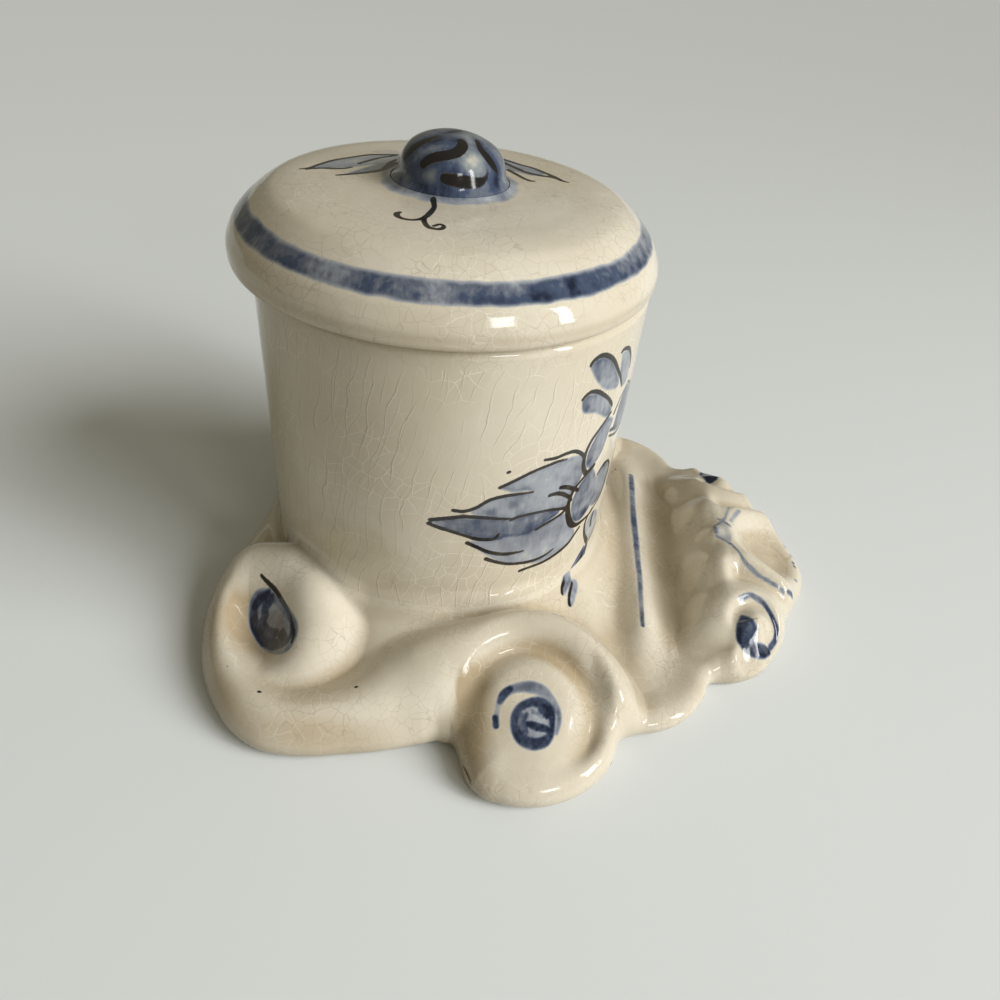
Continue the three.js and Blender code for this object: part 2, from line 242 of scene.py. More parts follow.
glaze = dict(
    cream=(0.620, 0.560, 0.440), pale=(0.765, 0.725, 0.625), tan=(0.420, 0.330, 0.205),
    # the pale crack colour is for painted highlights along the cracks
    crackle=(0.180, 0.135, 0.085), crackGlint=(0.830, 0.790, 0.690), thinWash=(0.300, 0.330, 0.375),
    thinKnob=(0.205, 0.240, 0.250), cobalt=(0.058, 0.080, 0.135), navy=(0.010, 0.015, 0.034),
    dark=(0.012, 0.010, 0.009), thinDark=(0.095, 0.070, 0.050), speck=(0.020, 0.015, 0.012),
    roughness=0.085, ior=1.52, bump=0.30, bumpHigh=0.0009,  # bump height in metres
    longCrack=4.4, netCrack=4.2, fineCrack=2.9, crackHalf=0.075,  # mm
    strands=[(1.0, 0.21, 1.0), (0.8, 0.67, 0.6)],  # share of longCrack, seed, share of strength
    lean=0.2, warpBroad=11.0, warpFine=1.1, glintAside=0.25)  # long cracks, in mm


# Glaze: cream colour that goes tan where it pools and where shade is painted in, pale where the glaze
# is thin on crests and where light is painted in, cracks, blue wash by density and dark strokes by
# their signed distance. Long cracks, on the body alone, are evenly spaced lines on its unrolled wall
# that noise warps, with a painted highlight, a pale glint, beside each. The pale net of painted crack
# highlights and the fine dark net are the borders of warped Voronoi cells.
def glazeMaterial(name, long, net, fine, thinWash=glaze["thinWash"]):
    mat = bpy.data.materials.new(name)
    mat.use_nodes = True
    nodes, links = mat.node_tree.nodes, mat.node_tree.links
    nodes.clear()

    # the helpers down to added each make a node, feed it sockets or numbers and return its output
    def node(kind, **values):
        n = nodes.new(kind)
        for key, value in values.items():
            setattr(n, key, value)
        return n

    def feed(socket, value):
        if isinstance(value, bpy.types.NodeSocket):
            links.new(value, socket)
        else:
            socket.default_value = (*value, 1) if socket.type == "RGBA" else value

    def combined(kind, op, a, b):
        n = node(kind, operation=op)
        feed(n.inputs[0], a)
        feed(n.inputs[1], b)
        return n.outputs[0]

    def plus(a, b):
        return combined("ShaderNodeMath", "ADD", a, b)

    def minus(a, b):
        return combined("ShaderNodeMath", "SUBTRACT", a, b)

    def times(a, b):
        return combined("ShaderNodeMath", "MULTIPLY", a, b)

    def larger(a, b):
        return combined("ShaderNodeMath", "MAXIMUM", a, b)

    def scaled(vector, factor):
        return combined("ShaderNodeVectorMath", "MULTIPLY", vector, factor)

    def added(a, b):
        return combined("ShaderNodeVectorMath", "ADD", a, b)

    def ramp(value, low, high, outLow=0.0, outHigh=1.0, kind="SMOOTHSTEP"):
        n = node("ShaderNodeMapRange", interpolation_type=kind, clamp=True)
        for key, number in zip(("Value", "From Min", "From Max", "To Min", "To Max"),
                               (value, low, high, outLow, outHigh)):
            feed(n.inputs[key], number)
        return n.outputs["Result"]

    def noise(scale, detail, offset=(0, 0, 0), rough=0.5, of="Fac", at=None):
        n = node("ShaderNodeTexNoise")
        for key, value in (("Vector", added(place if at is None else at, offset)),
                           ("Scale", scale), ("Detail", detail), ("Roughness", rough)):
            feed(n.inputs[key], value)
        return n.outputs[of]

    def voronoi(vector, scale, **values):
        n = node("ShaderNodeTexVoronoi", **values)
        feed(n.inputs["Vector"], vector)
        feed(n.inputs["Scale"], scale)
        return n.outputs["Distance"]

    def mix(factor, a, b):
        n = node("ShaderNodeMix", data_type="RGBA")
        for i, value in ((0, factor), (6, a), (7, b)):  # 6 and 7 are its colour sockets
            feed(n.inputs[i], value)
        return n.outputs[2]

    def attribute(key, of="Fac"):
        return node("ShaderNodeAttribute", attribute_name=key).outputs[of]

    # coordinates of the cracks: round the body in millimetres where it is unrolled, else in space
    place = node("ShaderNodeTexCoord").outputs["Object"]
    around = attribute("around", "Vector")
    metres = scaled(around, (mm, mm, mm)) if long else place
    bend = added(scaled(noise(62, 2, (0.3, 0.1, 0.7), of="Color"), (0.0062, 0.0062, 0.0062)),
                 scaled(noise(330, 2, (0.8, 0.3, 0.1), of="Color"), (0.0009, 0.0009, 0.0009)))
    bent = added(metres, bend)

    def cracks(size, offset):
        half = glaze["crackHalf"] / size
        border = voronoi(added(bent, offset), 1000 / size, feature="DISTANCE_TO_EDGE",
                         voronoi_dimensions="2D" if long else "3D")
        return ramp(border, 0.35 * half, 1.5 * half, 1.0, 0.0)

    # the pale lines, glints beside the long cracks and the pale net, are painted highlights where crack
    # edges catch the light
    netDark, crackHighlight = 0.0, 0.0
    for share, seed, strength in glaze["strands"] if long else ():
        strong, half = strength * long, share * glaze["longCrack"] / 2
        warp = plus(times(noise(52, 1, (seed, 0.4, 0.1)), glaze["warpBroad"]),
                    times(noise(260, 1, (0.3, seed, 0.2)), glaze["warpFine"]))
        split = node("ShaderNodeSeparateXYZ")
        feed(split.inputs[0], around)
        at = plus(split.outputs["X"], warp)
        shown = ramp(noise(75, 1, (0.7, 0.2, seed)), 0.40, 0.56, 0.1 * strong, strong)
        nearLine = combined("ShaderNodeMath", "PINGPONG", at, half)
        nearGlint = combined("ShaderNodeMath", "PINGPONG", minus(at, glaze["glintAside"]), half)
        netDark = larger(netDark, times(ramp(nearLine, 0.03, 0.16, 1.0, 0.0), shown))
        crackHighlight = larger(crackHighlight, times(ramp(nearGlint, 0.03, 0.17, 1.0, 0.0), shown))
    patchy = ramp(noise(48, 2, (0.9, 0.4, 0.2)), 0.38, 0.62)
    crackHighlight = larger(crackHighlight, times(cracks(glaze["netCrack"], (0.5, 0.2, 0.9)), times(patchy, net)))
    if fine:
        shown = ramp(noise(70, 2, (0.1, 0.2, 0.9)), 0.38, 0.66, 0.2 * fine, fine)
        netDark = larger(netDark, times(cracks(glaze["fineCrack"], (0.3, 0.6, 0.4)), shown))

    poolAndPaintedLight = attribute("poolAndPaintedLight")
    cloud = noise(26, 4, (0.4, 0.6, 0.1), 0.55)
    broad = noise(11, 2, (0.15, 0.35, 0.8))
    colour = mix(ramp(cloud, 0.30, 0.72, 0.0, 0.6), glaze["cream"], glaze["pale"])
    # tan for pooled glaze and painted shade, pale for thin glaze and painted light
    colour = mix(ramp(broad, 0.35, 0.70, 0.0, 0.16), colour, glaze["tan"])
    colour = mix(ramp(poolAndPaintedLight, 0.0, 1.5, 0.0, 0.93, "LINEAR"), colour, glaze["tan"])
    colour = mix(times(ramp(poolAndPaintedLight, 0.0, -1.0), 0.65), colour, glaze["pale"])
    # painted crack highlights in pale, then the dark cracks
    colour = mix(crackHighlight, colour, glaze["crackGlint"])
    colour = mix(netDark, colour, glaze["crackle"])
    specks = ramp(voronoi(place, 62, feature="F1"), 0.016, 0.028, 1.0, 0.0)
    colour = mix(times(specks, ramp(noise(150, 1), 0.54, 0.60)), colour, glaze["speck"])

    # blue wash: blotched and streaky, thin wash lets the cream show, thick wash goes to navy
    blotch = times(ramp(noise(105, 3, (0.1, 0.9, 0.6)), 0.28, 0.74), 0.75)
    mottle = ramp(noise(340, 2, (0.5, 0.1, 0.8)), 0.34, 0.68, -0.1, 0.1)
    streaks = noise(900, 2, at=scaled(added(place, bend), (1, 1, 0.14)))
    uneven = plus(plus(blotch, mottle), times(minus(streaks, 0.5), 0.6))
    thick = times(attribute("wash"), plus(uneven, 0.62))
    blue = mix(ramp(thick, 0.25, 0.92), thinWash, glaze["cobalt"])
    blue = mix(ramp(thick, 0.90, 1.70), blue, glaze["navy"])
    cover = larger(ramp(thick, 0.02, 0.36, 0.0, 0.93), ramp(thick, 0.5, 1.0))
    colour = mix(cover, colour, blue)

    # dark strokes, with a slightly ragged edge and a thin dry centre
    gap = plus(attribute("inkGap"), times(minus(noise(1500, 2, rough=0.6), 0.5), 0.22))
    ink = ramp(gap, 0.07, 0.31, 1.0, 0.0)
    thin = times(ramp(noise(380, 2, (0.3, 0.3, 0.9)), 0.50, 0.68), ramp(gap, -0.15, 0.2, 0.0, 0.85))
    colour = mix(times(ink, 0.985), colour, mix(thin, glaze["dark"], glaze["thinDark"]))

    bump = node("ShaderNodeBump")
    rough = ramp(noise(90, 3, (0.2, 0.1, 0.4), 0.6), 0.3, 0.75, glaze["roughness"] * 0.8,
                 glaze["roughness"] * 1.7)
    shader = node("ShaderNodeBsdfPrincipled")
    height = minus(noise(70, 2, (0.6, 0.2, 0.2)), times(netDark, 0.012))
    for n, key, value in ((bump, "Strength", glaze["bump"]), (bump, "Distance", glaze["bumpHigh"]),
                          (bump, "Height", height), (shader, "Base Color", colour),
                          (shader, "Roughness", rough), (shader, "IOR", glaze["ior"]),
                          (shader, "Normal", bump.outputs["Normal"])):
        feed(n.inputs[key], value)
    feed(node("ShaderNodeOutputMaterial").inputs["Surface"], shader.outputs["BSDF"])
    return mat


# strength of the long cracks with their painted glints, the pale net of painted crack highlights and the
# fine dark net
bodyGlaze = glazeMaterial("crackleGlazeBody", 0.42, 0.80, 0.0)
baseGlaze = glazeMaterial("crackleGlazeBase", 0.0, 0.30, 0.24)
lidGlaze = glazeMaterial("crackleGlazeLid", 0.0, 0.40, 0.26)
knobGlaze = glazeMaterial("crackleGlazeKnob", 0.0, 0.12, 0.15, glaze["thinKnob"])
print("glazes made")


baseForm = dict(
    radius=50.0, footDrop=3.6, footTuck=2.2, underRecess=1.2, footRing=6.0, hub=14.0,
    inside=0.9995,  # share of the plan, so that it stays within the solid
    columns=1200, topRows=122, turnRows=25, downRows=10, ripple=0.0024,
    pooling=[(14, 7, 0.9, 0.7), (40, 20, 3.0, 0.6)],  # blur columns, rows, mm deep, amount
    outline=[
        (-1.14, 0), (-1.16, -0.24), (-1.195, -0.48), (-1.226, -0.76), (-1.212, -0.96),
        (-1.166, -1.14), (-1.072, -1.356), (-0.952, -1.524), (-0.83, -1.64), (-0.682, -1.714),
        (-0.458, -1.726), (-0.268, -1.69), (-0.078, -1.646), (0.112, -1.584), (0.224, -1.558),
        (0.308, -1.62), (0.36, -1.744), (0.426, -1.814), (0.534, -1.85), (0.678, -1.854),
        (0.82, -1.816), (0.966, -1.724), (1.072, -1.596), (1.146, -1.42), (1.236, -1.375),
        (1.362, -1.338), (1.5, -1.252), (1.606, -1.118), (1.71, -0.966), (1.83, -0.948),
        (1.952, -0.894), (2.064, -0.772), (2.162, -0.612), (2.2, -0.482), (2.28, -0.34),
        (2.378, -0.16), (2.416, 0)],
    rolls=[
        [(0.82, -1.08, 0.42, 0.12), (0.66, -1.04, 0.46, 0.13), (0.47, -1.08, 0.435, 0.14),
         (0.27, -1.16, 0.39, 0.16), (0.11, -1.25, 0.335, 0.18), (-0.03, -1.35, 0.285, 0.2),
         (-0.24, -1.48, 0.236, 0.2), (-0.55, -1.566, 0.206, 0.15), (-0.806, -1.496, 0.212, 0.15),
         (-0.98, -1.33, 0.23, 0.13), (-1.07, -1.11, 0.26, 0.11), (-1.08, -0.91, 0.32, 0.11),
         (-0.95, -0.74, 0.42, 0.13), (-0.76, -0.76, 0.464, 0.16)],
        [(-0.94, -0.74, 0.42, 0.13), (-0.75, -0.79, 0.474, 0.15), (-0.6, -0.9, 0.48, 0.17),
         (-0.53, -1.05, 0.4, 0.17), (-0.55, -1.22, 0.29, 0.15), (-0.67, -1.34, 0.18, 0.09)]],
    scrolls=[
        dict(eye=(0.645, -1.44), lean=(0.13, -0.9915), slope=0.48, level=0.275, reach=0.42,
             edge=0.11, soft=0.5, boss=(0.02, 0.3), groove=(0.35, 0.085, 0.105),
             grooveArc=(-125, -60, 105, 165), rim=(0.43, 0.04, 0.09), rimArc=(-80, -20, 110, 180)),
        dict(eye=(1.935, -0.67), lean=(0.33, -0.944), slope=0.46, level=0.245, reach=0.19,
             edge=0.1, soft=0.2, boss=(0.05, 0.08), groove=(0.13, 0.02, 0.05),
             grooveArc=(-100, -50, 150, 200), rim=(0.185, 0.012, 0.04),
             rimArc=(-100, -60, 150, 200))],
    swells=[
        (-0.82, -1.07, 0.2, 0.15, -55, -0.09), (0.645, -1.5, 0.16, 0.15, 0, 0.06),
        (1.75, 0, 0.05, 0.06, 0, 0.05), (1.72, -0.26, 0.1, 0.12, 0, 0.05),
        (-0.02, -1.16, 0.3, 0.16, 0, 0.06)],
    skirt=dict(level=0.19, rise=0.23, back=0.45, run=0.36, blend=0.1),
    tray=dict(floor=0.105, rise=0.32, start=0.86, full=1.2, ridgeAt=1.285, ridgeWide=0.105,
              ridgeRise=0.09, ridgeEnd=(0.55, 1.15), slopeFrom=1.43, slopeTo=1.83, slopeRise=0.27,
              slopeEnd=(0.3, 1.1), wallFrom=0.28, wallTo=0.08),
    rim=[(0.8, 0.15), (1.3, 0.15), (1.52, 0.15), (1.62, 0.165), (1.7, 0.2), (1.8, 0.26)],
    shell=dict(start=1.75, full=1.88, top=0.375, fall=0.2, bend=0.42, mid=2.12, long=0.28,
               wide=0.2, flare=0.4, depth=0.08, drop=0.08, edge=0.03, edgeWide=0.07, end=(0.6, 0.98)),
    paintedShadeAndLight=[  # x, y, long, wide, turn, then painted shade in tan above 0 and painted light in pale below
        (-1.06, -1.02, 0.22, 0.32, 0, 1.5), (-0.85, -1.5, 0.4, 0.12, 0, 0.9),
        (-0.4, -1.66, 0.35, 0.1, 0, 1.1), (0.38, -1.58, 0.13, 0.27, 0, 1.5),
        (0.27, -1.4, 0.1, 0.14, 0, 0.9), (0.78, -1.17, 0.2, 0.09, -25, 0.9),
        (-0.36, -1.42, 0.22, 0.1, 35, 0.8), (-0.5, -1.02, 0.25, 0.22, -40, -1.4),
        (0.3, -1.18, 0.25, 0.08, 30, -1.2), (1.38, -1.05, 0.2, 0.2, 0, -0.9),
        (1.65, -0.85, 0.12, 0.15, 0, -0.6)],
    edge=[(1, 0.18), (1.2, 0.12), (1.4, 0.085), (1.72, 0.1), (1.95, 0.16), (2.2, 0.12),
          (2.42, 0.09)])

polar = np.array([(math.atan2(abs(y), x), math.hypot(x, y)) for x, y in baseForm["outline"]])
polar = polar[np.argsort(polar[:, 0])]
polarKeys = np.vstack([(polar[1:3] * [-1, 1])[::-1], polar,
                       (polar[-3:-1] * [-1, 1] + [2 * math.pi, 0])[::-1]])


# Outline of the base: radius over polar angle, in shares of the body radius, same on both sides.
def outline(angle):
    return keyed(polarKeys, np.abs(angle))


halfTurns = np.linspace(0, math.pi, 161)
edgeLine = outline(halfTurns)[:, None] * np.stack([np.cos(halfTurns), -np.sin(halfTurns)], 1)


# Distance to the outline: the shortest one to any of its short straight steps.
def inset(x, y):
    best = (outline(np.arctan2(y, x)) - np.hypot(x, y)).ravel()
    near = np.where(best < 0.62)[0]
    a, b = x.ravel()[near], -np.abs(y).ravel()[near]
    gap = np.full(a.shape, 9.0)
    for (x0, y0), (dx, dy) in zip(edgeLine[:-1], np.diff(edgeLine, axis=0)):
        t = np.clip(((a - x0) * dx + (b - y0) * dy) / (dx * dx + dy * dy), 0, 1)
        gap = np.minimum(gap, (a - x0 - t * dx) ** 2 + (b - y0 - t * dy) ** 2)
    best[near] = np.minimum(best[near], np.sqrt(gap))
    return best.reshape(x.shape)


# Roll: crest height less the squared distance from the path over twice the crest radius.
def rollHeight(x, y, nodes):
    best = np.full(x.shape, -9.0)
    p = path(nodes, 12)
    for (x0, y0, z0, a0), (dx, dy, dz, da) in zip(p[:-1], np.diff(p, axis=0)):
        t = np.clip(((x - x0) * dx + (y - y0) * dy) / (dx * dx + dy * dy), 0, 1)
        gap = (x - x0 - t * dx) ** 2 + (y - y0 - t * dy) ** 2
        best = np.maximum(best, z0 + t * dz - gap / (2 * (a0 + t * da)))
    return best


# 1 between the second and third angle in degrees, fading out to the first and the fourth.
def arc(phi, limits):
    a, b, c, d = limits
    mid = (a + d) / 2
    p = np.mod(np.degrees(phi) - mid + 540, 360) - 180 + mid
    return smooth(p, a, b) * (1 - smooth(p, c, d))


# Scroll: a face that falls along its lean, with boss, groove arc and rim arc round its eye,
# rounded off beyond its reach and joined softly to what is already there.
def scrollHeight(x, y, low, f):
    ex, ey = f["lean"]
    cx, cy = f["eye"]
    down = (x - cx) * ex + (y - cy) * ey
    across = (y - cy) * ex - (x - cx) * ey
    along = down * math.hypot(1, f["slope"])
    rho, phi = np.hypot(along, across), np.arctan2(across, -along)
    side = 1 - arc(phi, f["rimArc"])
    over = np.maximum(rho - f["reach"] * (1 - 0.3 * side), 0)
    high = (f["level"] - f["slope"] * down + f["boss"][0] * bell(rho, f["boss"][1])
            - f["groove"][1] * bell(rho - f["groove"][0], f["groove"][2]) * arc(phi, f["grooveArc"])
            + f["rim"][1] * bell(rho - f["rim"][0], f["rim"][2]) * (1 - side)
            - over**2 / (2 * (f["edge"] + f["soft"] * side)))
    inner = (1 - smooth(rho, 0.75 * f["reach"], f["reach"])) * (1 - side)
    both = softMax(low, high, 0.08)
    return both + (high - both) * inner * smooth(np.hypot(x, y), 0.98, 1.12)


# Tray: floor, cross ridge, slope up to the shell and a raised rim along the outline.
def trayHeight(x, y, away, near):
    t = baseForm["tray"]
    ridge = t["ridgeRise"] * bell(x - t["ridgeAt"], t["ridgeWide"]) * (1 - smooth(-y, *t["ridgeEnd"]))
    slope = t["slopeRise"] * smooth(x, t["slopeFrom"], t["slopeTo"]) * (1 - smooth(-y, *t["slopeEnd"]))
    rim = ((keyed(baseForm["rim"], x) - t["floor"]) * (1 - smooth(away, t["wallTo"], t["wallFrom"]))
           * (1 - smooth(x, 1.76, 1.94)))
    return t["floor"] + t["rise"] * near + ridge + softMax(slope, rim, 0.08) - 0.02


# Shell lip: slab that falls outward and sideways, with a hollow between two raised edges.
def shellHeight(x, y, low):
    s = baseForm["shell"]
    out = np.maximum(x - s["start"] - 0.1, 0)
    flare = s["wide"] + s["flare"] * np.maximum(x - s["full"], 0)
    slab = s["top"] - s["fall"] * out - s["bend"] * out * out - s["drop"] * smooth(-y - flare, 0.02, 0.15)
    hollow = s["depth"] * (1 - smooth(np.hypot((x - s["mid"]) / s["long"], y / flare), 0.25, 1))
    edge = (s["edge"] * bell(-y - flare, s["edgeWide"]) * smooth(x, s["full"] - 0.06, s["full"] + 0.06)
            * (1 - smooth(x, 2.2, 2.4)))
    return low + (slab + edge - low - hollow) * smooth(x, s["start"], s["full"]) * (
        1 - smooth(-y, *s["end"]))


# Width in plan over which the base turns down at its edge, by x.
def edgeWidth(x):
    return keyed(baseForm["edge"], np.maximum(x, 1))


# Height of the base in shares: skirt, rolls, tray, shell, swells and scrolls, turned down along
# the outline by a quarter ellipse.
def relief(x, yAny):
    y = -np.abs(yAny)
    away = inset(x, y)
    skirt = baseForm["skirt"]
    q = np.clip((np.hypot(x, y) - 1) / skirt["run"], 0, 1)
    near = 1 - np.sqrt(np.maximum(1 - (1 - q) ** 2, 0))
    high = skirt["level"] + skirt["rise"] * near * (1 - skirt["back"] * smooth(-x, 0.5, 1.1))
    for nodes in baseForm["rolls"]:
        high = softMax(high, rollHeight(x, y, nodes), skirt["blend"])
    tray = baseForm["tray"]
    inTray = smooth(x, tray["start"], tray["full"]) * smooth(x + 0.25 * (y + 1.2), 0.98, 1.2)
    high = high + (trayHeight(x, y, away, near) - high) * inTray
    high = shellHeight(x, y, high)
    for *oval, rise in baseForm["swells"]:
        high = high + rise * ovalBell(x, y, *oval)
    for f in baseForm["scrolls"]:
        high = scrollHeight(x, y, high, f)
    base = baseForm["footDrop"] / baseForm["radius"]
    q = np.clip(1 - away / edgeWidth(x), 0, 1)
    return base + (np.maximum(high, base + 0.04) - base) * np.sqrt(1 - q * q)


# base: strokes and patches in plan; the tray's line and the shell's tips are on one side only
basePaint = dict(
    ink=[
        [(39.3, -33.6, 0.32), (39.1, -32.7, 0.26), (39.5, -31.3, 0.17)],
        [(41.9, -35.2, 0.35), (41.6, -33.2, 0.26), (42.1, -29.5, 0.18)],
        [(-44.5, -43.6, 0.14), (-42.4, -45.1, 0.22), (-39.6, -47.1, 0.27), (-37, -49.9, 0.27),
         (-34.4, -53.2, 0.23), (-32.5, -56.5, 0.23), (-31.3, -58.9, 0.21), (-31.4, -60.9, 0.16)],
        [(-35.9, -75.2, 0.2), (-35.4, -75.2, 0.2)],
        [(-12.4, -71.2, 0.15), (-11.9, -71.2, 0.15)]],
    wash=[
        (0.6, [(39.2, -33.2), (39.3, -31.9), (40.1, -30.6), (41.3, -29.3), (40.6, -31.2), (39.9, -33.1)]),
        (0.45, [(41.7, -34.8), (41.5, -32.5), (42.1, -29.7), (43.5, -28.5), (43.4, -30.9),
         (42.4, -34.8)]),
        (0.55, [(-43.6, -46.5), (-41.1, -47.3), (-37.6, -49.7), (-33.7, -53.9), (-31, -57.6),
         (-30.8, -60.2), (-31.9, -62.2), (-34.4, -62.2), (-38.9, -59.3), (-42.9, -55.5), (-45.6, -52.2),
         (-46.6, -49.8), (-46.5, -47.8), (-45.4, -46.7)]),
        (0.5, [(32.8, -71.2), (35.9, -71.6), (37.8, -73.5), (38.2, -75.8), (37.7, -78.8), (36, -81),
         (33.1, -82), (30.4, -81.4), (28.4, -79.1), (27.7, -76.4), (28.4, -73.9), (30.3, -72)]),
        (1.35, [(92.5, -32.2), (94.2, -33.5), (95.2, -35.4), (95.8, -36.6), (95, -38.2), (94.7, -39.5),
         (96.7, -39.9), (100, -38.3), (101.3, -38.6), (98.7, -41.1), (95.7, -42), (92.6, -41.9),
         (91.1, -40.2), (90.8, -37.9), (91.1, -35.4)]),
        (0.22, [(90.3, 6), (92.5, 3.6), (93, -1.1), (91.8, -4.7), (89.9, -3.2), (88.4, -1.6)])],
    lines=[
        (1.5, [(-41.7, -47.4, 0.96), (-44.3, -47.8, 1.1), (-45.5, -49.1, 1.11), (-44.9, -51.5, 1.24),
         (-42.8, -54, 1.38), (-39.6, -56.9, 1.49), (-36.2, -59.2, 1.34), (-33.6, -60.1, 0.92),
         (-32.2, -58.7, 0.66), (-32.5, -56.5, 0.53)]),
        (1.4, [(-42.8, -51.5, 0.96), (-40.7, -54, 1.09), (-37.5, -55.9, 0.95)]),
        (1.4, [(-40.6, -48.5, 1.09), (-42.2, -49.4, 1.1), (-41.6, -50.9, 0.82)]),
        (1.7, [(-35.6, -56.9, 0.94), (-33.5, -59.4, 0.79)]),
        (0.8, [(-40.4, -48.1, 0.55), (-37, -51, 0.54), (-33.7, -54.9, 0.4)]),
        (1.5, [(32.5, -71.4, 1), (35, -71.5, 1.38), (37, -72.8, 1.12), (37.7, -75.5, 0.74),
         (37.4, -78.1, 0.86), (35.8, -80.2, 1.22), (33.1, -81.1, 1.34), (30.6, -80.3, 1.34),
         (28.9, -78.4, 1.1), (28.3, -75.9, 0.99), (29.1, -73.6, 0.99), (30.8, -72.2, 1),
         (32.5, -71.4, 1)]),
        (1.9, [(35.4, -72.6, 1.5), (36.2, -73.6, 1.12)]),
        (1.4, [(35.9, -72, 0.75), (36.4, -72.9, 1)]),
        (1.9, [(31.7, -76.8, 0.61), (34, -77.1, 0.98), (36.5, -77, 0.74)]),
        (1.1, [(31.2, -74.5, 0.5), (30.6, -76.4, 0.62), (31.4, -78.7, 0.61)]),
        (0.9, [(30, -74.9, 0.62), (29.8, -77.2, 0.61), (30.9, -79.3, 0.61)]),
        (0.95, [(32.7, -73.8, 0.5), (34.8, -74.3, 0.62)]),
        (1.3, [(31.1, -80.7, 0.73), (33.4, -81.3, 0.73), (35.2, -80.8, 0.73)]),
        (0.62, [(23.7, -75.6, 0.62), (23.9, -73.3, 0.62), (24.9, -71, 0.88), (26.5, -69.5, 1),
         (28.9, -68.5, 1.13), (31.9, -68.1, 1.39), (34.8, -68.6, 1.26), (37, -70.1, 1), (38.7, -72, 0.75),
         (39.4, -74.3, 0.62), (38.9, -77.3, 0.49)]),
        (1.5, [(24.3, -72.2, 0.75), (25.1, -70.5, 1), (26.5, -69.2, 0.75)]),
        (1.6, [(23.5, -76, 0.62), (23.9, -77.8, 0.61)]),
        (1.05, [(92.1, -27.2, 0.38), (93.7, -26.2, 0.5), (95.6, -25.4, 0.47), (97.5, -25.8, 0.45),
         (99.5, -26.5, 0.42), (101.2, -28.1, 0.44), (102.7, -30.1, 0.59), (103.8, -32.1, 0.66),
         (103.5, -34.6, 0.59), (101.7, -37.2, 0.58)]),
        (0.62, [(92, -5.7, 0.19), (93.2, -8.8, 0.22), (94.5, -12, 0.25), (96.1, -13.8, 0.34),
         (97.8, -14.9, 0.43), (99.4, -15.8, 0.34), (101.2, -16.5, 0.18), (103.2, -17.2, 0.25),
         (105.4, -17.9, 0.18), (108.1, -18.8, 0.21)]),
        (1, [(109.6, -18.2, 0.31), (111.7, -17.4, 0.46)]),
        (0.9, [(117.1, -0.8, 0.33), (117.4, -1, 0.33)]),
        (0.8, [(115.6, -8.2, 0.29), (116, -8.2, 0.29)]),
        (0.8, [(88, 6.8, 0.49), (88.2, 3.6, 0.68), (88.1, -1.2, 0.51)]),
        (0.6, [(88.4, -2.4, 0.22), (90.4, -4.2, 0.22), (91.8, -6.2, 0.22)])],
    oneSided=[
        (0.45, [(94.2, 5.5, 0.49), (95.9, 8.5, 0.56), (97.6, 10.8, 0.5)]),
        (0.9, [(92.2, 4.1, 0.26), (93.4, 2.9, 0.32)]),
        (1, [(117.3, 4.9, 0.34), (117.7, 4.7, 0.34)]),
        (0.55, [(90, 6.1, 0.16), (92.2, 4.1, 0.2)]),
        (0.86, [(65.4, 38.7, 0.78), (65, 30.9, 0.9), (64.6, 21.9, 0.88), (64.3, 10.7, 0.95),
         (64.3, 0.4, 0.92), (64.3, -9, 0.8), (64.4, -17.9, 0.71), (64.1, -26.4, 0.6), (64, -32.1, 0.53),
         (64.1, -35.6, 0.5)]),
        (0.85, [(64.9, 28.9, 0.36), (65, 27.2, 0.36)]),
        (0.85, [(64.5, 13, 0.41), (64.5, 10.2, 0.41)]),
        (0.8, [(64.3, -2.5, 0.36), (64.2, -5, 0.36)]),
        (0.8, [(64.3, -18.3, 0.31), (64.3, -20.1, 0.31)]),
        (0.85, [(64.2, -26, 0.3), (64.2, -27.2, 0.3)]),
        (0.9, [(64.2, -31.1, 0.3), (64.2, -32.2, 0.3)]),
        (0.9, [(64.2, -34.9, 0.29), (64.2, -35.9, 0.29)])],
    stain=[
        [(106.1, 5.5, 0.17), (109.3, 6.2, 0.2), (111.7, 5.4, 0.2), (113.5, 3.4, 0.23), (114.9, 1.9, 0.3),
         (117.1, 3.6, 0.2)],
        [(101, -1, 0.13), (105.9, 0.7, 0.16), (111.2, 2.4, 0.17), (114.9, 1.9, 0.23)],
        [(114.9, 1.9, 0.17), (113.9, -3.8, 0.2), (108.9, -15.2, 0.15)]])


# Paint of the base in plan: the same on both sides, but for the tray's line and the shell's tips.
def baseDecor(x, y):
    u, v = x, -np.abs(y)
    wash = np.maximum(washLines(u, v, basePaint["lines"]), washLines(x, y, basePaint["oneSided"]))
    wash = np.maximum(wash, washAreas(u, v, basePaint["wash"]))
    return wash, strokeGap(u, v, basePaint["ink"])


# Moving average over a few columns and rows of a grid that closes on itself.
def blurGrid(h, cols, rows):
    k = np.ones(2 * cols + 1) / (2 * cols + 1)
    wide = np.concatenate([h[-cols - 1:-1], h, h[1:cols + 1]])
    h = np.stack([np.convolve(c, k, "valid") for c in wide.T], 1)
    k = np.ones(2 * rows + 1) / (2 * rows + 1)
    wide = np.concatenate([np.repeat(h[:, :1], rows, 1), h, np.repeat(h[:, -1:], rows, 1)], 1)
    return np.stack([np.convolve(c, k, "valid") for c in wide], 0)


# Polar angles at equal steps along the outline.
cols = baseForm["columns"]
fineTurns = np.linspace(-math.pi, math.pi, 6001)
alongEdge = lengthAlong(polarPoints(outline(fineTurns), fineTurns, 0))
angles = np.interp(np.linspace(0, alongEdge[-1], cols + 1), alongEdge, fineTurns)
angles = (angles - angles[::-1]) / 2
radii = outline(angles)
turnWidth = np.minimum(edgeWidth(radii * np.cos(angles)), 0.6 * (radii - 1))


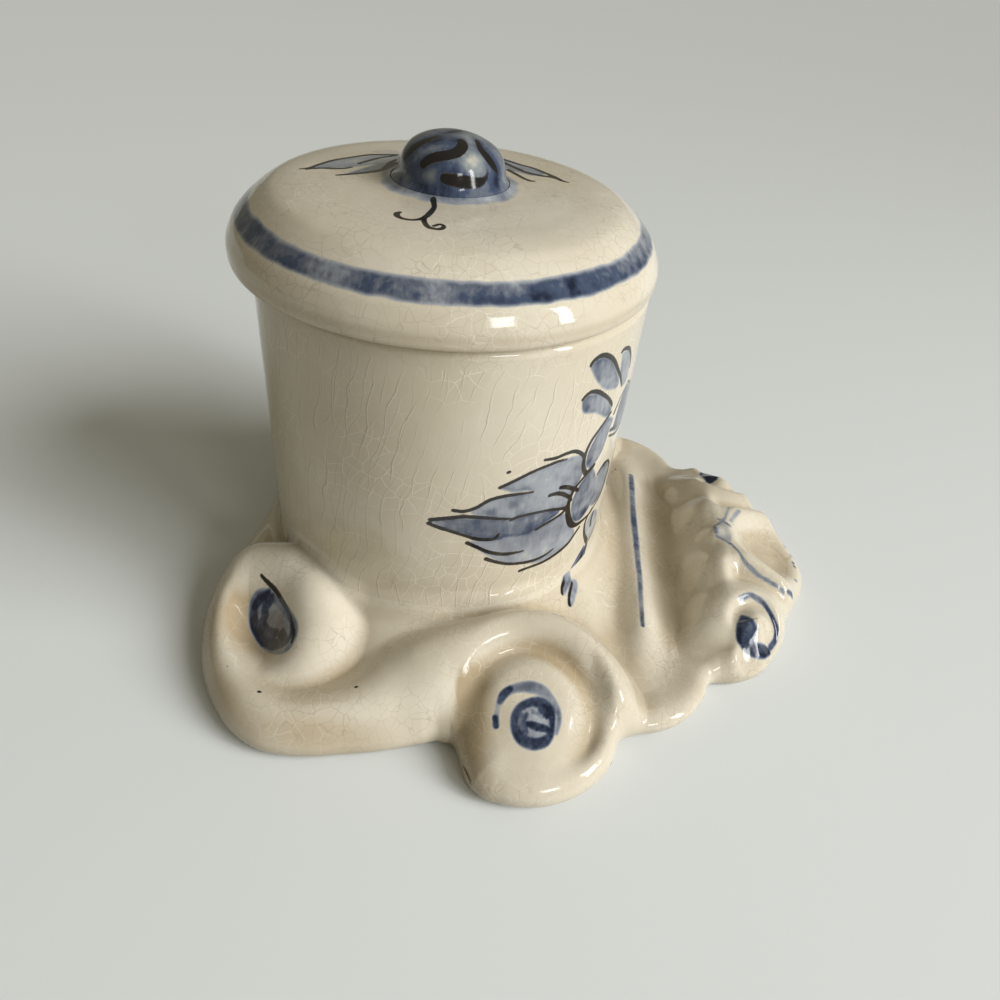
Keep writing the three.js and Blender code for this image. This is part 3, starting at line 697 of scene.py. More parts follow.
# Base grid: rows run from the body out to the start of the edge, turn down with it by quarter
# steps, then go straight down and in under the foot.
def baseGrid():
    f = baseForm
    inner = np.linspace(0, 1, f["topRows"]) ** 1.1
    turn = np.linspace(0, math.pi / 2, f["turnRows"] + 1)[1:]
    top = np.hstack([1 + (radii - turnWidth - 1)[:, None] * inner,
                     radii[:, None] - turnWidth[:, None] * (1 - np.sin(turn))])
    top[:, -1] = radii
    x, y = top * np.cos(angles)[:, None], top * np.sin(angles)[:, None]
    z = relief(x, y)
    z = z + (f["ripple"] * waviness(x, y, z, 0.75, 3) * smooth(top, 1.02, 1.2)
             * smooth(z, 0.07, 0.16))
    down = np.linspace(0, 1, f["downRows"] + 1)[1:]
    under = f["radius"] * radii[:, None] - f["footTuck"] * down**2.2
    foot = polarPoints(under, angles[:, None], f["footDrop"] * (1 - down))
    return np.concatenate([f["radius"] * np.stack([x, y, z], -1), foot], 1)


# Arrays of directions, mixed by a share and made unit length again.
def mixedNormals(a, b, share):
    n = a + (b - a) * share[..., None]
    return n / np.linalg.norm(n, axis=-1, keepdims=True)


base = baseGrid() * [baseForm["inside"], baseForm["inside"], 1]
baseX, baseY, height = (base[:, :, i] for i in range(3))
normals = -gridNormals(base)

# where the body meets the base both take the same normal, half way between theirs
joint = mixedNormals(polarPoints(1, angles, 0), normals[:, 10], np.full(len(angles), 0.5))
fromBody = np.hypot(baseX, baseY) - baseForm["radius"]
normals = mixedNormals(normals, joint[:, None], 1 - smooth(fromBody, 0, 5))

# glaze pools where the surface lies below its own blurred form, less so along the edge
poolAndPaintedLight = 0
for blurCols, blurRows, deep, amount in baseForm["pooling"]:
    poolAndPaintedLight = poolAndPaintedLight + amount * np.clip((blurGrid(height, blurCols, blurRows) - height) / deep, -1, 1)
poolAndPaintedLight = np.clip(poolAndPaintedLight + 0.15 * (1 - smooth(height, 4.5, 9.0)) * smooth(baseX, 52, 62), -1, 1)
planX, planY = baseX / baseForm["radius"], baseY / baseForm["radius"]
poolAndPaintedLight *= smooth(baseForm["radius"] * inset(planX, planY), 1, 6)
poolAndPaintedLight[:, -baseForm["downRows"]:] = 0
# painted shade and painted light: tan ovals where the base lies in shade, pale ovals where it catches the
# light
for *oval, shadeAndLight in baseForm["paintedShadeAndLight"]:
    poolAndPaintedLight += shadeAndLight * ovalBell(planX, -np.abs(planY), *oval)
stain = strokeGap(baseX, baseY, basePaint["stain"])
poolAndPaintedLight = np.maximum(poolAndPaintedLight, 1.3 * (1 - smooth(stain, -0.1, 0.35)))
wash, gap = baseDecor(baseX, baseY)
attributes = dict(poolAndPaintedLight=poolAndPaintedLight, wash=wash, inkGap=gap)
for name, part in (("scrollBaseNear", slice(0, cols // 2 + 1)),
                   ("scrollBaseFar", slice(cols // 2, cols + 1))):
    gridPiece(name, base[part][::-1], normals[part][::-1],
              {k: v[part][::-1] for k, v in attributes.items()}, "jar", baseGlaze)


# Underside: straight strips from the foot line in to the ring, up into the recess and to the hub.
def undersideGrid():
    f = baseForm
    a = angles[::6]
    edge = f["radius"] * f["inside"] * radii[::6] - f["footTuck"]
    ring, recess, hub = f["footRing"], f["underRecess"], f["hub"]
    rows = [(edge, 0), (edge - ring, 0), (edge - ring - recess, recess), (hub + recess, recess),
            (hub, 0), (0, 0)]
    return np.stack([polarPoints(r, a, z) for r, z in rows], 1)


foot = undersideGrid()
downward = np.zeros(foot.shape)
downward[:, :, 2] = -1
gridPiece("underside", foot[::-1], downward, unpainted(foot, 0.2), "jar", baseGlaze)


bodyForm = dict(
    radius=50.0, wall=4.6, floorTop=7.0, mouth=98.0, fillet=8.0, wallTop=93.5,
    clear=0.02, wave=0.10,  # mm inside the solid's wall, mm of waviness
    frontTurn=95, frontRows=136, backRows=80, insideColumns=360)

# strokes of the spray on the body: degrees from the shell side, height, half width, near half
spray = dict(
    ink=[
        [(-56.1, 67.7, 0.26), (-52.4, 67.3, 0.31), (-48.9, 67.5, 0.36), (-45.3, 67.1, 0.37),
         (-41.9, 65.1, 0.4), (-40.6, 63.6, 0.37)],
        [(-68.8, 61.8, 0.35), (-64.7, 63.3, 0.31), (-58.9, 65.1, 0.31), (-52.4, 65.9, 0.26),
         (-48.1, 65.7, 0.15)],
        [(-81.3, 55.5, 0.36), (-78.3, 55.2, 0.36), (-75, 56.2, 0.34), (-71.3, 58.3, 0.36),
         (-67.1, 59, 0.36), (-62.6, 58.9, 0.27), (-58.5, 58.6, 0.17)],
        [(-87.5, 52.2, 0.39), (-83.4, 52.9, 0.43), (-77.9, 53.5, 0.41), (-72.2, 52.8, 0.36),
         (-67.7, 51.9, 0.29), (-64.7, 51.4, 0.22)],
        [(-64.3, 51, 0.37), (-61.6, 51.5, 0.35), (-56.7, 51.4, 0.28), (-51.3, 50.7, 0.28),
         (-46.3, 49.3, 0.31), (-44.9, 49.4, 0.21)],
        [(-88, 51, 0.36), (-84.6, 49.8, 0.39), (-81.2, 48.7, 0.34), (-77.4, 47.3, 0.3),
         (-74.2, 46.1, 0.42), (-71.2, 45.5, 0.37), (-68.8, 45.5, 0.3), (-67.5, 46.8, 0.2)],
        [(-55.3, 45.5, 0.31), (-52.3, 46.3, 0.31), (-48.6, 47, 0.26), (-45.6, 47.8, 0.39),
         (-44.8, 48.8, 0.26)],
        [(-76.7, 44.9, 0.4), (-73.3, 43, 0.38), (-70.2, 41.2, 0.41), (-65.7, 39.6, 0.44),
         (-61.5, 39.1, 0.31), (-58.7, 39, 0.13)],
        [(-70.6, 38.8, 0.46), (-67.7, 37.3, 0.36), (-63.4, 35.6, 0.34), (-58.5, 34.6, 0.34),
         (-53.8, 34.1, 0.35), (-50.1, 34.4, 0.27), (-47, 35.3, 0.13)],
        [(-59, 31.8, 0.32), (-55.3, 32, 0.32), (-50.4, 32, 0.35), (-44.7, 32.8, 0.44),
         (-39.9, 34.1, 0.44), (-37, 36.3, 0.38), (-35.2, 37.5, 0.33)],
        [(-52.4, 55.8, 0.37), (-50, 55.6, 0.45), (-47.1, 54.4, 0.46), (-44.1, 52.2, 0.44),
         (-42.9, 50.7, 0.34)],
        [(-48.6, 57.1, 0.42), (-45.9, 56.2, 0.48), (-43, 54.6, 0.46), (-40.3, 52.9, 0.34)],
        [(-33.9, 58.2, 0.44), (-36.3, 57.4, 0.39), (-38.9, 56.3, 0.39), (-41.3, 55, 0.41),
         (-43, 53.1, 0.49), (-43.8, 50.1, 0.62), (-43.3, 46.5, 0.79), (-41, 42, 0.87), (-38, 39.7, 0.61),
         (-34.1, 39.3, 0.41), (-29.8, 39.5, 0.28), (-27.4, 40.5, 0.2)],
        [(-29.9, 72.8, 0.3), (-32.3, 71.5, 0.37), (-35.4, 69.8, 0.42), (-38.2, 67.9, 0.45),
         (-39.8, 65.5, 0.47), (-40.3, 62.6, 0.53), (-39.7, 59.8, 0.63), (-37.8, 57.4, 0.64),
         (-35.9, 57.9, 0.52), (-34, 58.4, 0.39)],
        [(-30.3, 53.5, 0.21), (-28.7, 54.4, 0.24), (-26.2, 55.1, 0.27), (-22.3, 54.1, 0.22)],
        [(-27.4, 66.3, 0.39), (-24.9, 65.8, 0.45), (-23.2, 65.6, 0.34)],
        [(-27.2, 71.4, 0.38), (-26.4, 72.5, 0.3), (-25, 74, 0.2), (-22.7, 75.7, 0.18),
         (-19.2, 77.4, 0.15)],
        [(-45.4, 90.8, 0.34), (-44.6, 91.7, 0.38), (-42.4, 92.3, 0.43), (-39.9, 91.9, 0.45),
         (-37.2, 90.6, 0.46), (-34.4, 88.5, 0.42), (-31.6, 85.6, 0.38), (-28.4, 82.3, 0.32),
         (-25.8, 78.7, 0.12)],
        [(-46.2, 82, 0.3), (-44.8, 82.9, 0.35), (-42.9, 83.2, 0.37), (-40.2, 82.4, 0.42),
         (-37.4, 80.8, 0.4), (-34, 78.5, 0.36), (-31, 75.9, 0.34), (-30.1, 74.7, 0.17)],
        [(-31.3, 90.1, 0.33), (-29.8, 90.4, 0.35), (-26.7, 89.5, 0.36), (-24.2, 87.3, 0.29),
         (-22.4, 84.7, 0.22), (-21.7, 82.4, 0.12)],
        [(-26.9, 27.3, 0.73), (-30.3, 32.1, 0.43), (-31.6, 36.7, 0.33), (-30.4, 39.2, 0.28),
         (-28.2, 40.6, 0.17)],
        [(-24.9, 26.4, 0.38), (-22, 27.6, 0.26), (-19.9, 30.9, 0.21)],
        [(-26.3, 38, 0.25), (-26.8, 35.7, 0.42), (-26.2, 32.7, 0.23)],
        [(-38, 13.2, 0.59), (-38.2, 15.8, 0.47), (-36.6, 18.1, 0.32), (-33.7, 20, 0.23),
         (-29.9, 22, 0.28), (-26, 25.1, 0.23)],
        [(-37, 13.3, 0.38), (-34.5, 14.7, 0.29), (-31.6, 17.4, 0.27), (-27.4, 21.2, 0.21)],
        [(-29.7, 1.7, 0.71), (-32.2, 6.2, 0.46), (-32.4, 9.9, 0.33), (-30.7, 14.7, 0.33),
         (-29.1, 19.9, 0.29), (-26.4, 26.2, 0.23)],
        [(-28.1, 1.5, 0.4), (-27.5, 5.1, 0.28), (-27.3, 11.5, 0.27), (-25, 17.5, 0.21)],
        [(-67, 66.1, 0.26), (-66.5, 66.2, 0.26)],
        [(-23.2, 10.7, 0.18), (-22.6, 8.5, 0.15)],
        [(0, 62.2, 0.19), (-2.4, 61.6, 0.34), (-4.1, 60.1, 0.42), (-4.8, 58, 0.42),
         (-4.1, 55.9, 0.42), (-2.4, 54.4, 0.34), (0, 53.8, 0.19)],
        [(-1.4, 63.6, 0.19), (-5.3, 66, 0.34), (-7.1, 70, 0.42), (-6, 74.2, 0.42),
         (-2.8, 76.4, 0.34), (0, 75.4, 0.19)],
        [(-27.5, 64.6, 0.17), (-21.2, 62.6, 0.31), (-14.3, 62.6, 0.38), (-9.9, 65.2, 0.38),
         (-10.1, 70, 0.38), (-13.8, 74.6, 0.31), (-19.3, 77.3, 0.17)],
        [(-5.3, 60.2, 0.14), (-8, 62.2, 0.24), (-10.3, 64.6, 0.14)],
        [(-27.5, 40.6, 0.16), (-22.9, 42.2, 0.29), (-19.5, 46.2, 0.36), (-19.3, 50.8, 0.29),
         (-22.5, 54.2, 0.16)],
        [(-5, 55.2, 0.17), (-10.9, 53.4, 0.31), (-15.6, 48.6, 0.38), (-16, 43, 0.38),
         (-11.9, 40.4, 0.38), (-7.6, 43.6, 0.31), (-4.6, 49.4, 0.17)],
        [(-1.6, 52.6, 0.17), (-4.8, 48, 0.31), (-5.5, 42.4, 0.38), (-3.2, 38.2, 0.31),
         (0, 36.6, 0.17)],
        [(-9.6, 57.6, 0.14), (-14.2, 58.4, 0.24), (-18.3, 57.4, 0.14)],
        [(0, 36, 0.16), (0, 28, 0.29), (0, 20, 0.29), (0, 15, 0.16)],
        [(-0.3, 19, 0.15), (-5.5, 20.6, 0.28), (-10.3, 25.4, 0.34), (-11.9, 31.4, 0.34),
         (-6.9, 29.6, 0.34), (-2.3, 25, 0.28), (-0.3, 21, 0.15)],
        [(0, 79.2, 0.17), (-2.8, 82, 0.31), (-3.7, 86, 0.38), (-2.2, 90, 0.31), (0, 92.2, 0.17)]],
    wash=[
        (0.42, [(-67.9, 61.7), (-63.2, 63.3), (-55.6, 64.9), (-48, 65.2), (-42.1, 64.4), (-40.2, 60.7),
         (-40.6, 57.3), (-43, 54.8), (-44.4, 51.7), (-45.2, 49.7), (-53.2, 51.3), (-60.4, 52.1),
         (-64.1, 51.6), (-71.7, 53.3), (-76, 54.9), (-73.9, 56.5), (-70.7, 58), (-64.9, 58.4),
         (-58.4, 58.3), (-60.3, 60), (-64.3, 60.2)]),
        (0.6, [(-86.6, 51.9), (-82, 52.7), (-73.6, 52.3), (-64.6, 50.7), (-58.9, 51), (-53, 50.4),
         (-47.8, 48.9), (-52.1, 47.3), (-55.4, 46), (-59.4, 45.1), (-64.9, 45.8), (-67.6, 45.3),
         (-71.6, 46.2), (-77.5, 48), (-81.8, 49.3)]),
        (0.36, [(-75.8, 44.9), (-72.4, 45.1), (-67.4, 45.9), (-60, 45), (-54.9, 45.2), (-50.7, 46.1),
         (-46.6, 46.9), (-43.3, 45.5), (-41.3, 41), (-38.2, 36.9), (-41.5, 34.5), (-46.6, 33.7),
         (-51.8, 33.1), (-57.5, 34.5), (-64.4, 36.2), (-68.8, 39.4)]),
        (0.5, [(-34.7, 57.3), (-37.3, 55.9), (-40.1, 53.8), (-41.6, 50.8), (-41.4, 46.7), (-39.3, 42.5),
         (-36.3, 41), (-33.2, 41.9), (-30.9, 43.8), (-29.5, 47), (-30.9, 51.8)]),
        (0.48, [(-31, 71.2), (-34.2, 69.3), (-36.9, 66.7), (-38.4, 64), (-38.3, 60.5), (-36.3, 59),
         (-33.3, 59.6), (-30.6, 61.9), (-29.4, 64.7), (-28.7, 67.5), (-27.6, 69.5)]),
        (0.5, [(-44.9, 90.3), (-42.9, 91.2), (-39.5, 90.8), (-36, 88.7), (-32.5, 85.1), (-29.2, 80.6),
         (-32.8, 80.9), (-37.7, 83.1), (-42, 86.9)]),
        (0.5, [(-45.6, 81.5), (-43.8, 82.1), (-40.3, 81.5), (-36.4, 79.4), (-32.7, 76.6), (-30.8, 73.5),
         (-33, 73.2), (-38.7, 76.5), (-44.3, 78.4)]),
        (0.4, [(-30.3, 89.2), (-26.8, 88.5), (-23.6, 84.6), (-22.3, 80.1), (-24.8, 78.9), (-28.2, 82.5),
         (-29.5, 86.2)]),
        (0.3, [(-27.8, 29.4), (-30.5, 34.5), (-28.9, 37.3), (-25.5, 37.9), (-21.7, 34.1), (-22.2, 29.7),
         (-24.8, 27.9)]),
        (0.6, [(-37.8, 14.3), (-37.4, 17), (-34.5, 21), (-29.5, 25.5), (-28.4, 25), (-31, 19),
         (-35.3, 13.5)]),
        (0.55, [(-30.5, 4.1), (-31.5, 9.3), (-29.5, 18), (-27, 25), (-25.5, 24.5), (-27, 13.7),
         (-28, 3.2)]),
        (0.85, [(2.3, 61.8), (-2.3, 61), (-4, 59.6), (-4.6, 58), (-4, 56.4), (-2.3, 55),
         (2.3, 54.2)]),
        (0.5, [(2.3, 64), (-1.4, 64.4), (-4.6, 66.6), (-6.2, 70), (-5.3, 73.6), (-2.5, 75.4),
         (2.3, 74.6)]),
        (0.52, [(-25.2, 65.6), (-20.1, 63.8), (-14.3, 63.8), (-11.2, 66), (-11.5, 69.6),
         (-14.7, 73.6), (-19.5, 76), (-22.9, 73.5)]),
        (0.42, [(-30.9, 51.8), (-30.5, 44), (-27, 42.2), (-22.9, 43.4), (-20.6, 46.6),
         (-20.4, 50.4), (-23.1, 53.4), (-27, 54.6)]),
        (0.5, [(-6.2, 54.2), (-10.5, 52.4), (-14.4, 48), (-14.7, 43.6), (-11.9, 41.8), (-8.5, 44.6),
         (-5.7, 49.6)]),
        (0.46, [(2.3, 51.4), (-1.6, 51.2), (-3.9, 47.6), (-4.4, 42.6), (-2.5, 39), (2.3, 37.8)]),
        (0.45, [(-1.4, 20.4), (-5.3, 21.8), (-9.4, 26), (-10.5, 30), (-6.6, 28.4), (-2.5, 24)]),
        (0.5, [(2.3, 80.6), (-1.8, 82.4), (-2.5, 86), (-1.4, 89.2), (2.3, 90.8)])],
    blots=[
        (-71.5, 54.7, 1.21, 0.45), (-69.8, 54.8, 1.21, 0.3), (-61, 60.8, 1.44, 0.22),
         (-57.7, 47, 2.28, 0.2), (-74.9, 50.8, 1.95, 0.12), (-34.1, 42.7, 1.36, 0.45),
         (-36.9, 60.9, 1.02, 0.3), (-25.7, 54.2, 0.81, 0.3), (-42.6, 90.1, 1.13, 0.2),
         (-43.3, 78.9, 1.17, 0.25), (-47.8, 37.1, 1.6, 0.12), (-64.3, 56.1, 1.7, 0.15),
         (-45.6, 59.9, 1.99, 0.12)],
    washGain=1.22)


# Paint of the body: arc length and height are the drawing plane, and both halves are mirrored.
def bodyDecor(angle, z):
    perDegree = bodyForm["radius"] * math.pi / 180
    u = bodyForm["radius"] * -np.abs(angle)
    ink = [[(a * perDegree, h, half) for a, h, half in nodes] for nodes in spray["ink"]]
    wash = washAreas(u, z, [(density, [(a * perDegree, h) for a, h in nodes])
                            for density, nodes in spray["wash"]])
    for a, h, size, density in spray["blots"]:
        wash += density * bell(np.hypot(u - a * perDegree, z - h), size) * (wash > 0.1)
    return spray["washGain"] * wash, strokeGap(u, z, ink)


# Outer wall: straight circles from the base's top line to the mouth, with a faint waviness.
def wallGrid(part, rows):
    r = bodyForm["radius"]
    a = angles[part][:, None]
    low = base[part, 0, 2][:, None]
    t = np.linspace(0, 1, rows)[None]
    z = low + (bodyForm["wallTop"] - low) * t
    swell = (bodyForm["wave"] * waviness(r * np.cos(a), r * np.sin(a), z, 60, 5)
             * smooth(t, 0, 0.1) * (1 - smooth(t, 0.93, 1)))
    points = polarPoints(r + swell - bodyForm["clear"], a, z)
    normal = mixedNormals(polarPoints(1, a, 0 * z), joint[part][:, None], 1 - smooth(z - low, 0, 8))
    return points, normal, a + 0 * z


front = np.where(np.abs(angles) <= math.radians(bodyForm["frontTurn"]))[0]
lo, hi = front[0], front[-1]
for name, part, rows in (("bodyWallFront", slice(lo, hi + 1), bodyForm["frontRows"]),
                         ("bodyWallNearBack", slice(0, lo + 1), bodyForm["backRows"]),
                         ("bodyWallFarBack", slice(hi, cols + 1), bodyForm["backRows"])):
    points, normal, around = wallGrid(part, rows)
    z = points[:, :, 2]
    wash, gap = bodyDecor(around, z)
    nearBase = 1 - smooth(z - z[:, :1], 1, 14)
    unrolled = np.stack([bodyForm["radius"] * around - glaze["lean"] * z, z, 0 * around], -1)
    gridPiece(name, points, normal, dict(poolAndPaintedLight=0.35 * nearBase, wash=wash, inkGap=gap, around=unrolled),
              "jar", bodyGlaze)


# Section of the mouth and the inside: the wall's top turns over the rim, goes down the inside
# and rounds into the floor.
def insideSection():
    f = bodyForm
    half, inner, outer = f["wall"] / 2, f["radius"] - f["wall"], f["radius"] - f["clear"]
    rim = [(outer, f["wallTop"]), (outer, f["mouth"] - half - 0.4)]
    rim += [(f["radius"] - half - half * math.cos(math.pi * (1 - t)),
             f["mouth"] - half + half * math.sin(math.pi * t)) for t in np.linspace(0, 1, 21)]
    rim += [(inner, z) for z in np.linspace(f["mouth"] - half, f["floorTop"] + f["fillet"], 30)[1:]]
    rim += [(inner - f["fillet"] * (1 - math.cos(t)), f["floorTop"] + f["fillet"] * (1 - math.sin(t)))
            for t in np.linspace(0, math.pi / 2, 12)[1:]]
    return np.array(rim + [(r, f["floorTop"]) for r in np.linspace(inner - f["fillet"], 0, 8)[1:]])


inside = lathe(insideSection(), bodyForm["insideColumns"], 0)
insideNormals = gridNormals(inside)
insideNormals[:, -1] = [0, 0, 1]
insideNormals[:, 0] = insideNormals[:, 1]
depth = 1 - smooth(inside[:, :, 2], 8, 60)
gridPiece("mouthAndInside", inside, insideNormals, unpainted(inside, 0.5 * depth),
          "jar", baseGlaze)


lidForm = dict(
    shift=-2.3, seat=98.4, top=115.9,
    section=[(51.45, 98.5), (51.9, 98.55), (52.5, 98.95), (52.85, 99.9), (52.9, 100.9), (52.88, 102.4),
             (52.6, 103.6), (52.1, 104.8), (51.2, 106.6), (50.1, 108.0), (48.6, 109.6), (47, 111.0),
             (44.3, 113.1), (41.2, 114.7), (36, 115.6), (30, 115.85), (25.6, 115.9), (20, 115.9),
             (17, 115.95), (15.4, 116.15), (14.3, 116.8)],
    knob=[(13.5, 117.7), (13.0, 118.8), (12.65, 120.2), (12.2, 121.7), (11.4, 123.1), (10.0, 124.5),
          (7.6, 125.8), (4.9, 126.7), (2.4, 127.13), (0, 127.25)],
    wall=4.2, flangeFit=3.2, flangeDepth=5.5, flangeWall=4.0,
    crownGrid=(172, 540), knobGrid=(90, 300), underGrid=(110, 240))  # rows, columns

# lid: strokes in plan from the lid's axis, knob: points in space from that axis
lidPaint = dict(
    band=(46.9, 50.3), bandRadius=49, bandBlots=[(-39.2, -29.6, 4.2), (29.7, -37.5, 2.6)],
    ink=[
        [(-35.6, -2.5, 0.22), (-33.6, -1, 0.35), (-32.1, 2.5, 0.35), (-29.6, 7, 0.36),
         (-26.2, 10.6, 0.36), (-22.4, 14.4, 0.45), (-18.9, 15.9, 0.38), (-15.8, 17.2, 0.3)],
        [(-34.1, -2.5, 0.26), (-31.3, -0.7, 0.42), (-27.9, 0.1, 0.45), (-25.7, 1.2, 0.35),
         (-24.4, 2.7, 0.17)],
        [(-23.4, 6.2, 0.36), (-21.8, 9.1, 0.32), (-19.5, 12.8, 0.29), (-16.3, 16.1, 0.26)],
        [(-26.2, -4.7, 0.28), (-23.6, -2.9, 0.38), (-20.5, -0.4, 0.45), (-17.5, 2.5, 0.57),
         (-15.8, 6.3, 0.61), (-15, 10.1, 0.54)],
        [(-17, 4, 0.32), (-16.4, 9.5, 0.39), (-15.4, 12.7, 0.33)],
        [(10.7, 24.5, 0.38), (12.9, 23, 0.38), (15.6, 21.3, 0.38), (18.8, 19.9, 0.38), (22.3, 16.8, 0.45),
         (25, 14, 0.55), (26.8, 11.8, 0.48), (28.3, 11.2, 0.22)],
        [(11.7, 20.5, 0.3), (14.5, 18, 0.41), (17.2, 15.5, 0.48), (21.1, 14, 0.55), (23.7, 13.8, 0.43),
         (26.3, 12.4, 0.33)],
        [(12.9, 15.5, 0.48), (14.5, 13.5, 0.48), (17, 10.2, 0.43), (18.8, 8.7, 0.43), (19.8, 8.8, 0.25)],
        [(11.1, 22.1, 0.23), (13.6, 19.4, 0.25), (16.4, 16.9, 0.19)],
        [(-2, -15.1, 0.55), (-1.2, -19, 0.42), (-1.5, -23.1, 0.54), (-2.3, -26.5, 0.49),
         (-3.9, -28.3, 0.36), (-6, -28.6, 0.36), (-7.7, -27.6, 0.49), (-8.2, -26, 0.52),
         (-7.7, -24.9, 0.28)],
        [(-2.3, -26.5, 0.46), (-1.9, -28.8, 0.42), (-0.7, -31.3, 0.45), (0.8, -31.9, 0.39),
         (2, -31.5, 0.48), (2.4, -30, 0.3), (1.5, -29.1, 0.28), (0.4, -30.4, 0.28)]],
    wash=[
        (0.38, [(-33.2, -0.5), (-30.3, 5), (-25.3, 10), (-19.9, 14.6), (-15.8, 16.3), (-15.2, 12.8),
         (-16.9, 9.8), (-20.8, 6.8), (-24.5, 3.4), (-28.8, 1.1)]),
        (0.4, [(-24.4, -3.3), (-22, 1), (-19.4, 6.1), (-16.2, 11.5), (-14.7, 10.3), (-16, 4.9),
         (-19.5, 0.4)]),
        (0.2, [(-22, 17.6), (-19, 20.4), (-16.3, 20), (-15.9, 18.2), (-19, 16.8)]),
        (0.38, [(10.6, 25), (14.2, 22.7), (18.4, 19.2), (21.8, 16.1), (19.1, 13.6), (14.9, 15.4),
         (12.5, 17.1)])],
    knobInk=[
        [(-5.1, -11, 122.5, 0.98), (-3.6, -10.7, 123.6, 1.11), (-1.4, -10.3, 124.2, 1.17),
         (0.7, -9.8, 124.7, 1.17), (2.3, -8.7, 125.3, 1.25), (3.1, -6.5, 126.1, 1.12),
         (2.5, -4.9, 126.7, 0.85)],
        [(0, -13.3, 120.5, 0.98), (1.3, -13.3, 120.4, 1.25), (3.6, -12.9, 120.1, 1.39),
         (5.7, -12.2, 119.9, 1.4), (7.9, -11, 119.8, 1.4), (9.5, -9.4, 120.1, 1.27),
         (10, -8.3, 121.1, 0.99), (9.6, -7.4, 122.6, 0.56), (9.3, -7.1, 123.1, 0.35)],
        [(5.9, -2.3, 126.4, 0.43), (7.3, -4.9, 125.5, 0.85), (9.1, -5.7, 124, 0.99),
         (11.1, -5.6, 122, 0.86), (12.4, -5.2, 120.1, 0.72)],
        [(-10.3, -6.9, 122.2, 0.71), (-8.8, -6.4, 123.9, 0.99), (-6.9, -5.9, 125.3, 0.99),
         (-4.6, -4.8, 126.3, 0.7), (-2.9, -3.8, 126.9, 0.43)],
        [(-1.5, -1.1, 127.2, 0.29), (-0.2, 0, 127.3, 0.43), (1.5, 1.4, 127.1, 0.29)],
        [(9.4, 4, 124, 0.7), (5, 7.4, 125.2, 0.9), (-0.5, 7.6, 125.8, 0.7)],
        [(-12.6, 2, 120.8, 0.7), (-11.4, 6, 121.2, 0.9), (-8.4, 9.2, 121.4, 0.7)],
        [(4, 12.6, 120, 0.6), (8.4, 9.6, 120.6, 0.8), (11.6, 5, 120.4, 0.5)]],
    knobBlots=[
        (-8.3, -10.6, 120.2, 1.35, 0.7), (-5.1, -13.2, 117.2, 1.35, 0.75),
         (-6.6, -12.3, 118.2, 1.12, 0.4), (-11.1, -8.4, 118.1, 0.69, 0.7), (-1.2, -12, 122.6, 1.11, 0.3),
         (-3.1, -5.4, 126.4, 1.12, 0.35), (12.1, -6.4, 119.1, 1.15, 0.6), (2.1, -11.7, 122.9, 0.89, 0.3),
         (-3.2, -12.9, 120.5, 1.11, -0.25), (7.6, -6.7, 124.5, 1.35, -0.35),
         (5.2, -9.5, 123.9, 1.11, -0.2), (7.7, -11.8, 117.5, 1.58, -0.2), (-3.1, -8.5, 125.3, 1.11, -0.2),
         (4.4, -11.7, 121.9, 0.89, 0.2)])


# Lathed part of the lid: a smooth path through the section's keys, cut evenly, turned round the
# lid's own axis, which stands off the jar's.
def lidGrid(keys, size):
    rows, count = size
    p = path(keys, 12)
    run = lengthAlong(p)
    at = np.linspace(0, run[-1], rows)
    section = np.stack([np.interp(at, run, p[:, 0]), np.interp(at, run, p[:, 1])], 1)
    return lathe(section, count, lidForm["shift"])


# Signed distance in space to painted paths (x, y, z, half width).
def spaceGap(points, strokes):
    best = np.full(points.shape[:2], farGap)
    for nodes in strokes:
        p = path(nodes, 5)
        for a, d in zip(p[:-1], np.diff(p, axis=0)):
            t = np.clip(((points - a[:3]) @ d[:3]) / (d[:3] @ d[:3]), 0, 1)
            best = np.minimum(best, np.linalg.norm(points - a[:3] - t[..., None] * d[:3], axis=2)
                              - a[3] - t * d[3])
    return best


crown = lidGrid(lidForm["section"], lidForm["crownGrid"])
lx, ly, lz = (crown[:, :, i] for i in range(3))
u, v = lx - lidForm["shift"], ly
away = np.hypot(u, v)
crown[:, :, 2] += 0.12 * waviness(lx, ly, lz, 45, 9) * (1 - smooth(away, 40, 50)) * smooth(away, 15, 22)
crownNormals = gridNormals(crown)
bandLow, bandHigh = lidPaint["band"]
ragged = 0.28 * waviness(lx, ly, 3 * lz, 9, 11)
inBand = smooth(away + 0.7 * ragged, bandLow - 0.7, bandLow + 0.7) * (
    1 - smooth(away + 0.5 * ragged, bandHigh - 0.5, bandHigh + 0.4)) * smooth(lz, 106.8, 107.4)
bandWash = inBand * (0.86 + 0.12 * waviness(lx, ly, lz, 22, 2) + 0.18 * bell(away - bandHigh + 0.7, 0.9))
for bx, by, long in lidPaint["bandBlots"]:
    along = (np.arctan2(v, u) - math.atan2(by, bx)) * lidPaint["bandRadius"]
    bandWash = np.maximum(bandWash, inBand * 1.45 * (1 - smooth(np.abs(along), 0, long * 2.2)))
onTop = (lz > 110) & (away < 42)
crownWash = np.maximum(bandWash, washAreas(u, v, lidPaint["wash"]) * onTop)
halo = 1 - smooth(away + 0.6 * waviness(lx, ly, lz, 9, 4), 14.2, 17.8)
crownWash = np.maximum(crownWash, 0.62 * halo * onTop)
crownGap = np.where(onTop, strokeGap(u, v, lidPaint["ink"]), farGap)
crownPool = (0.5 * bell(lz - 101.2, 1.2) * (away > 51) - 0.35 * bell(away - 47, 3)
             + 0.25 * bell(away - 18, 3))
gridPiece("lidCrown", crown, crownNormals, dict(poolAndPaintedLight=crownPool, wash=crownWash, inkGap=crownGap),
          "lid", lidGlaze)

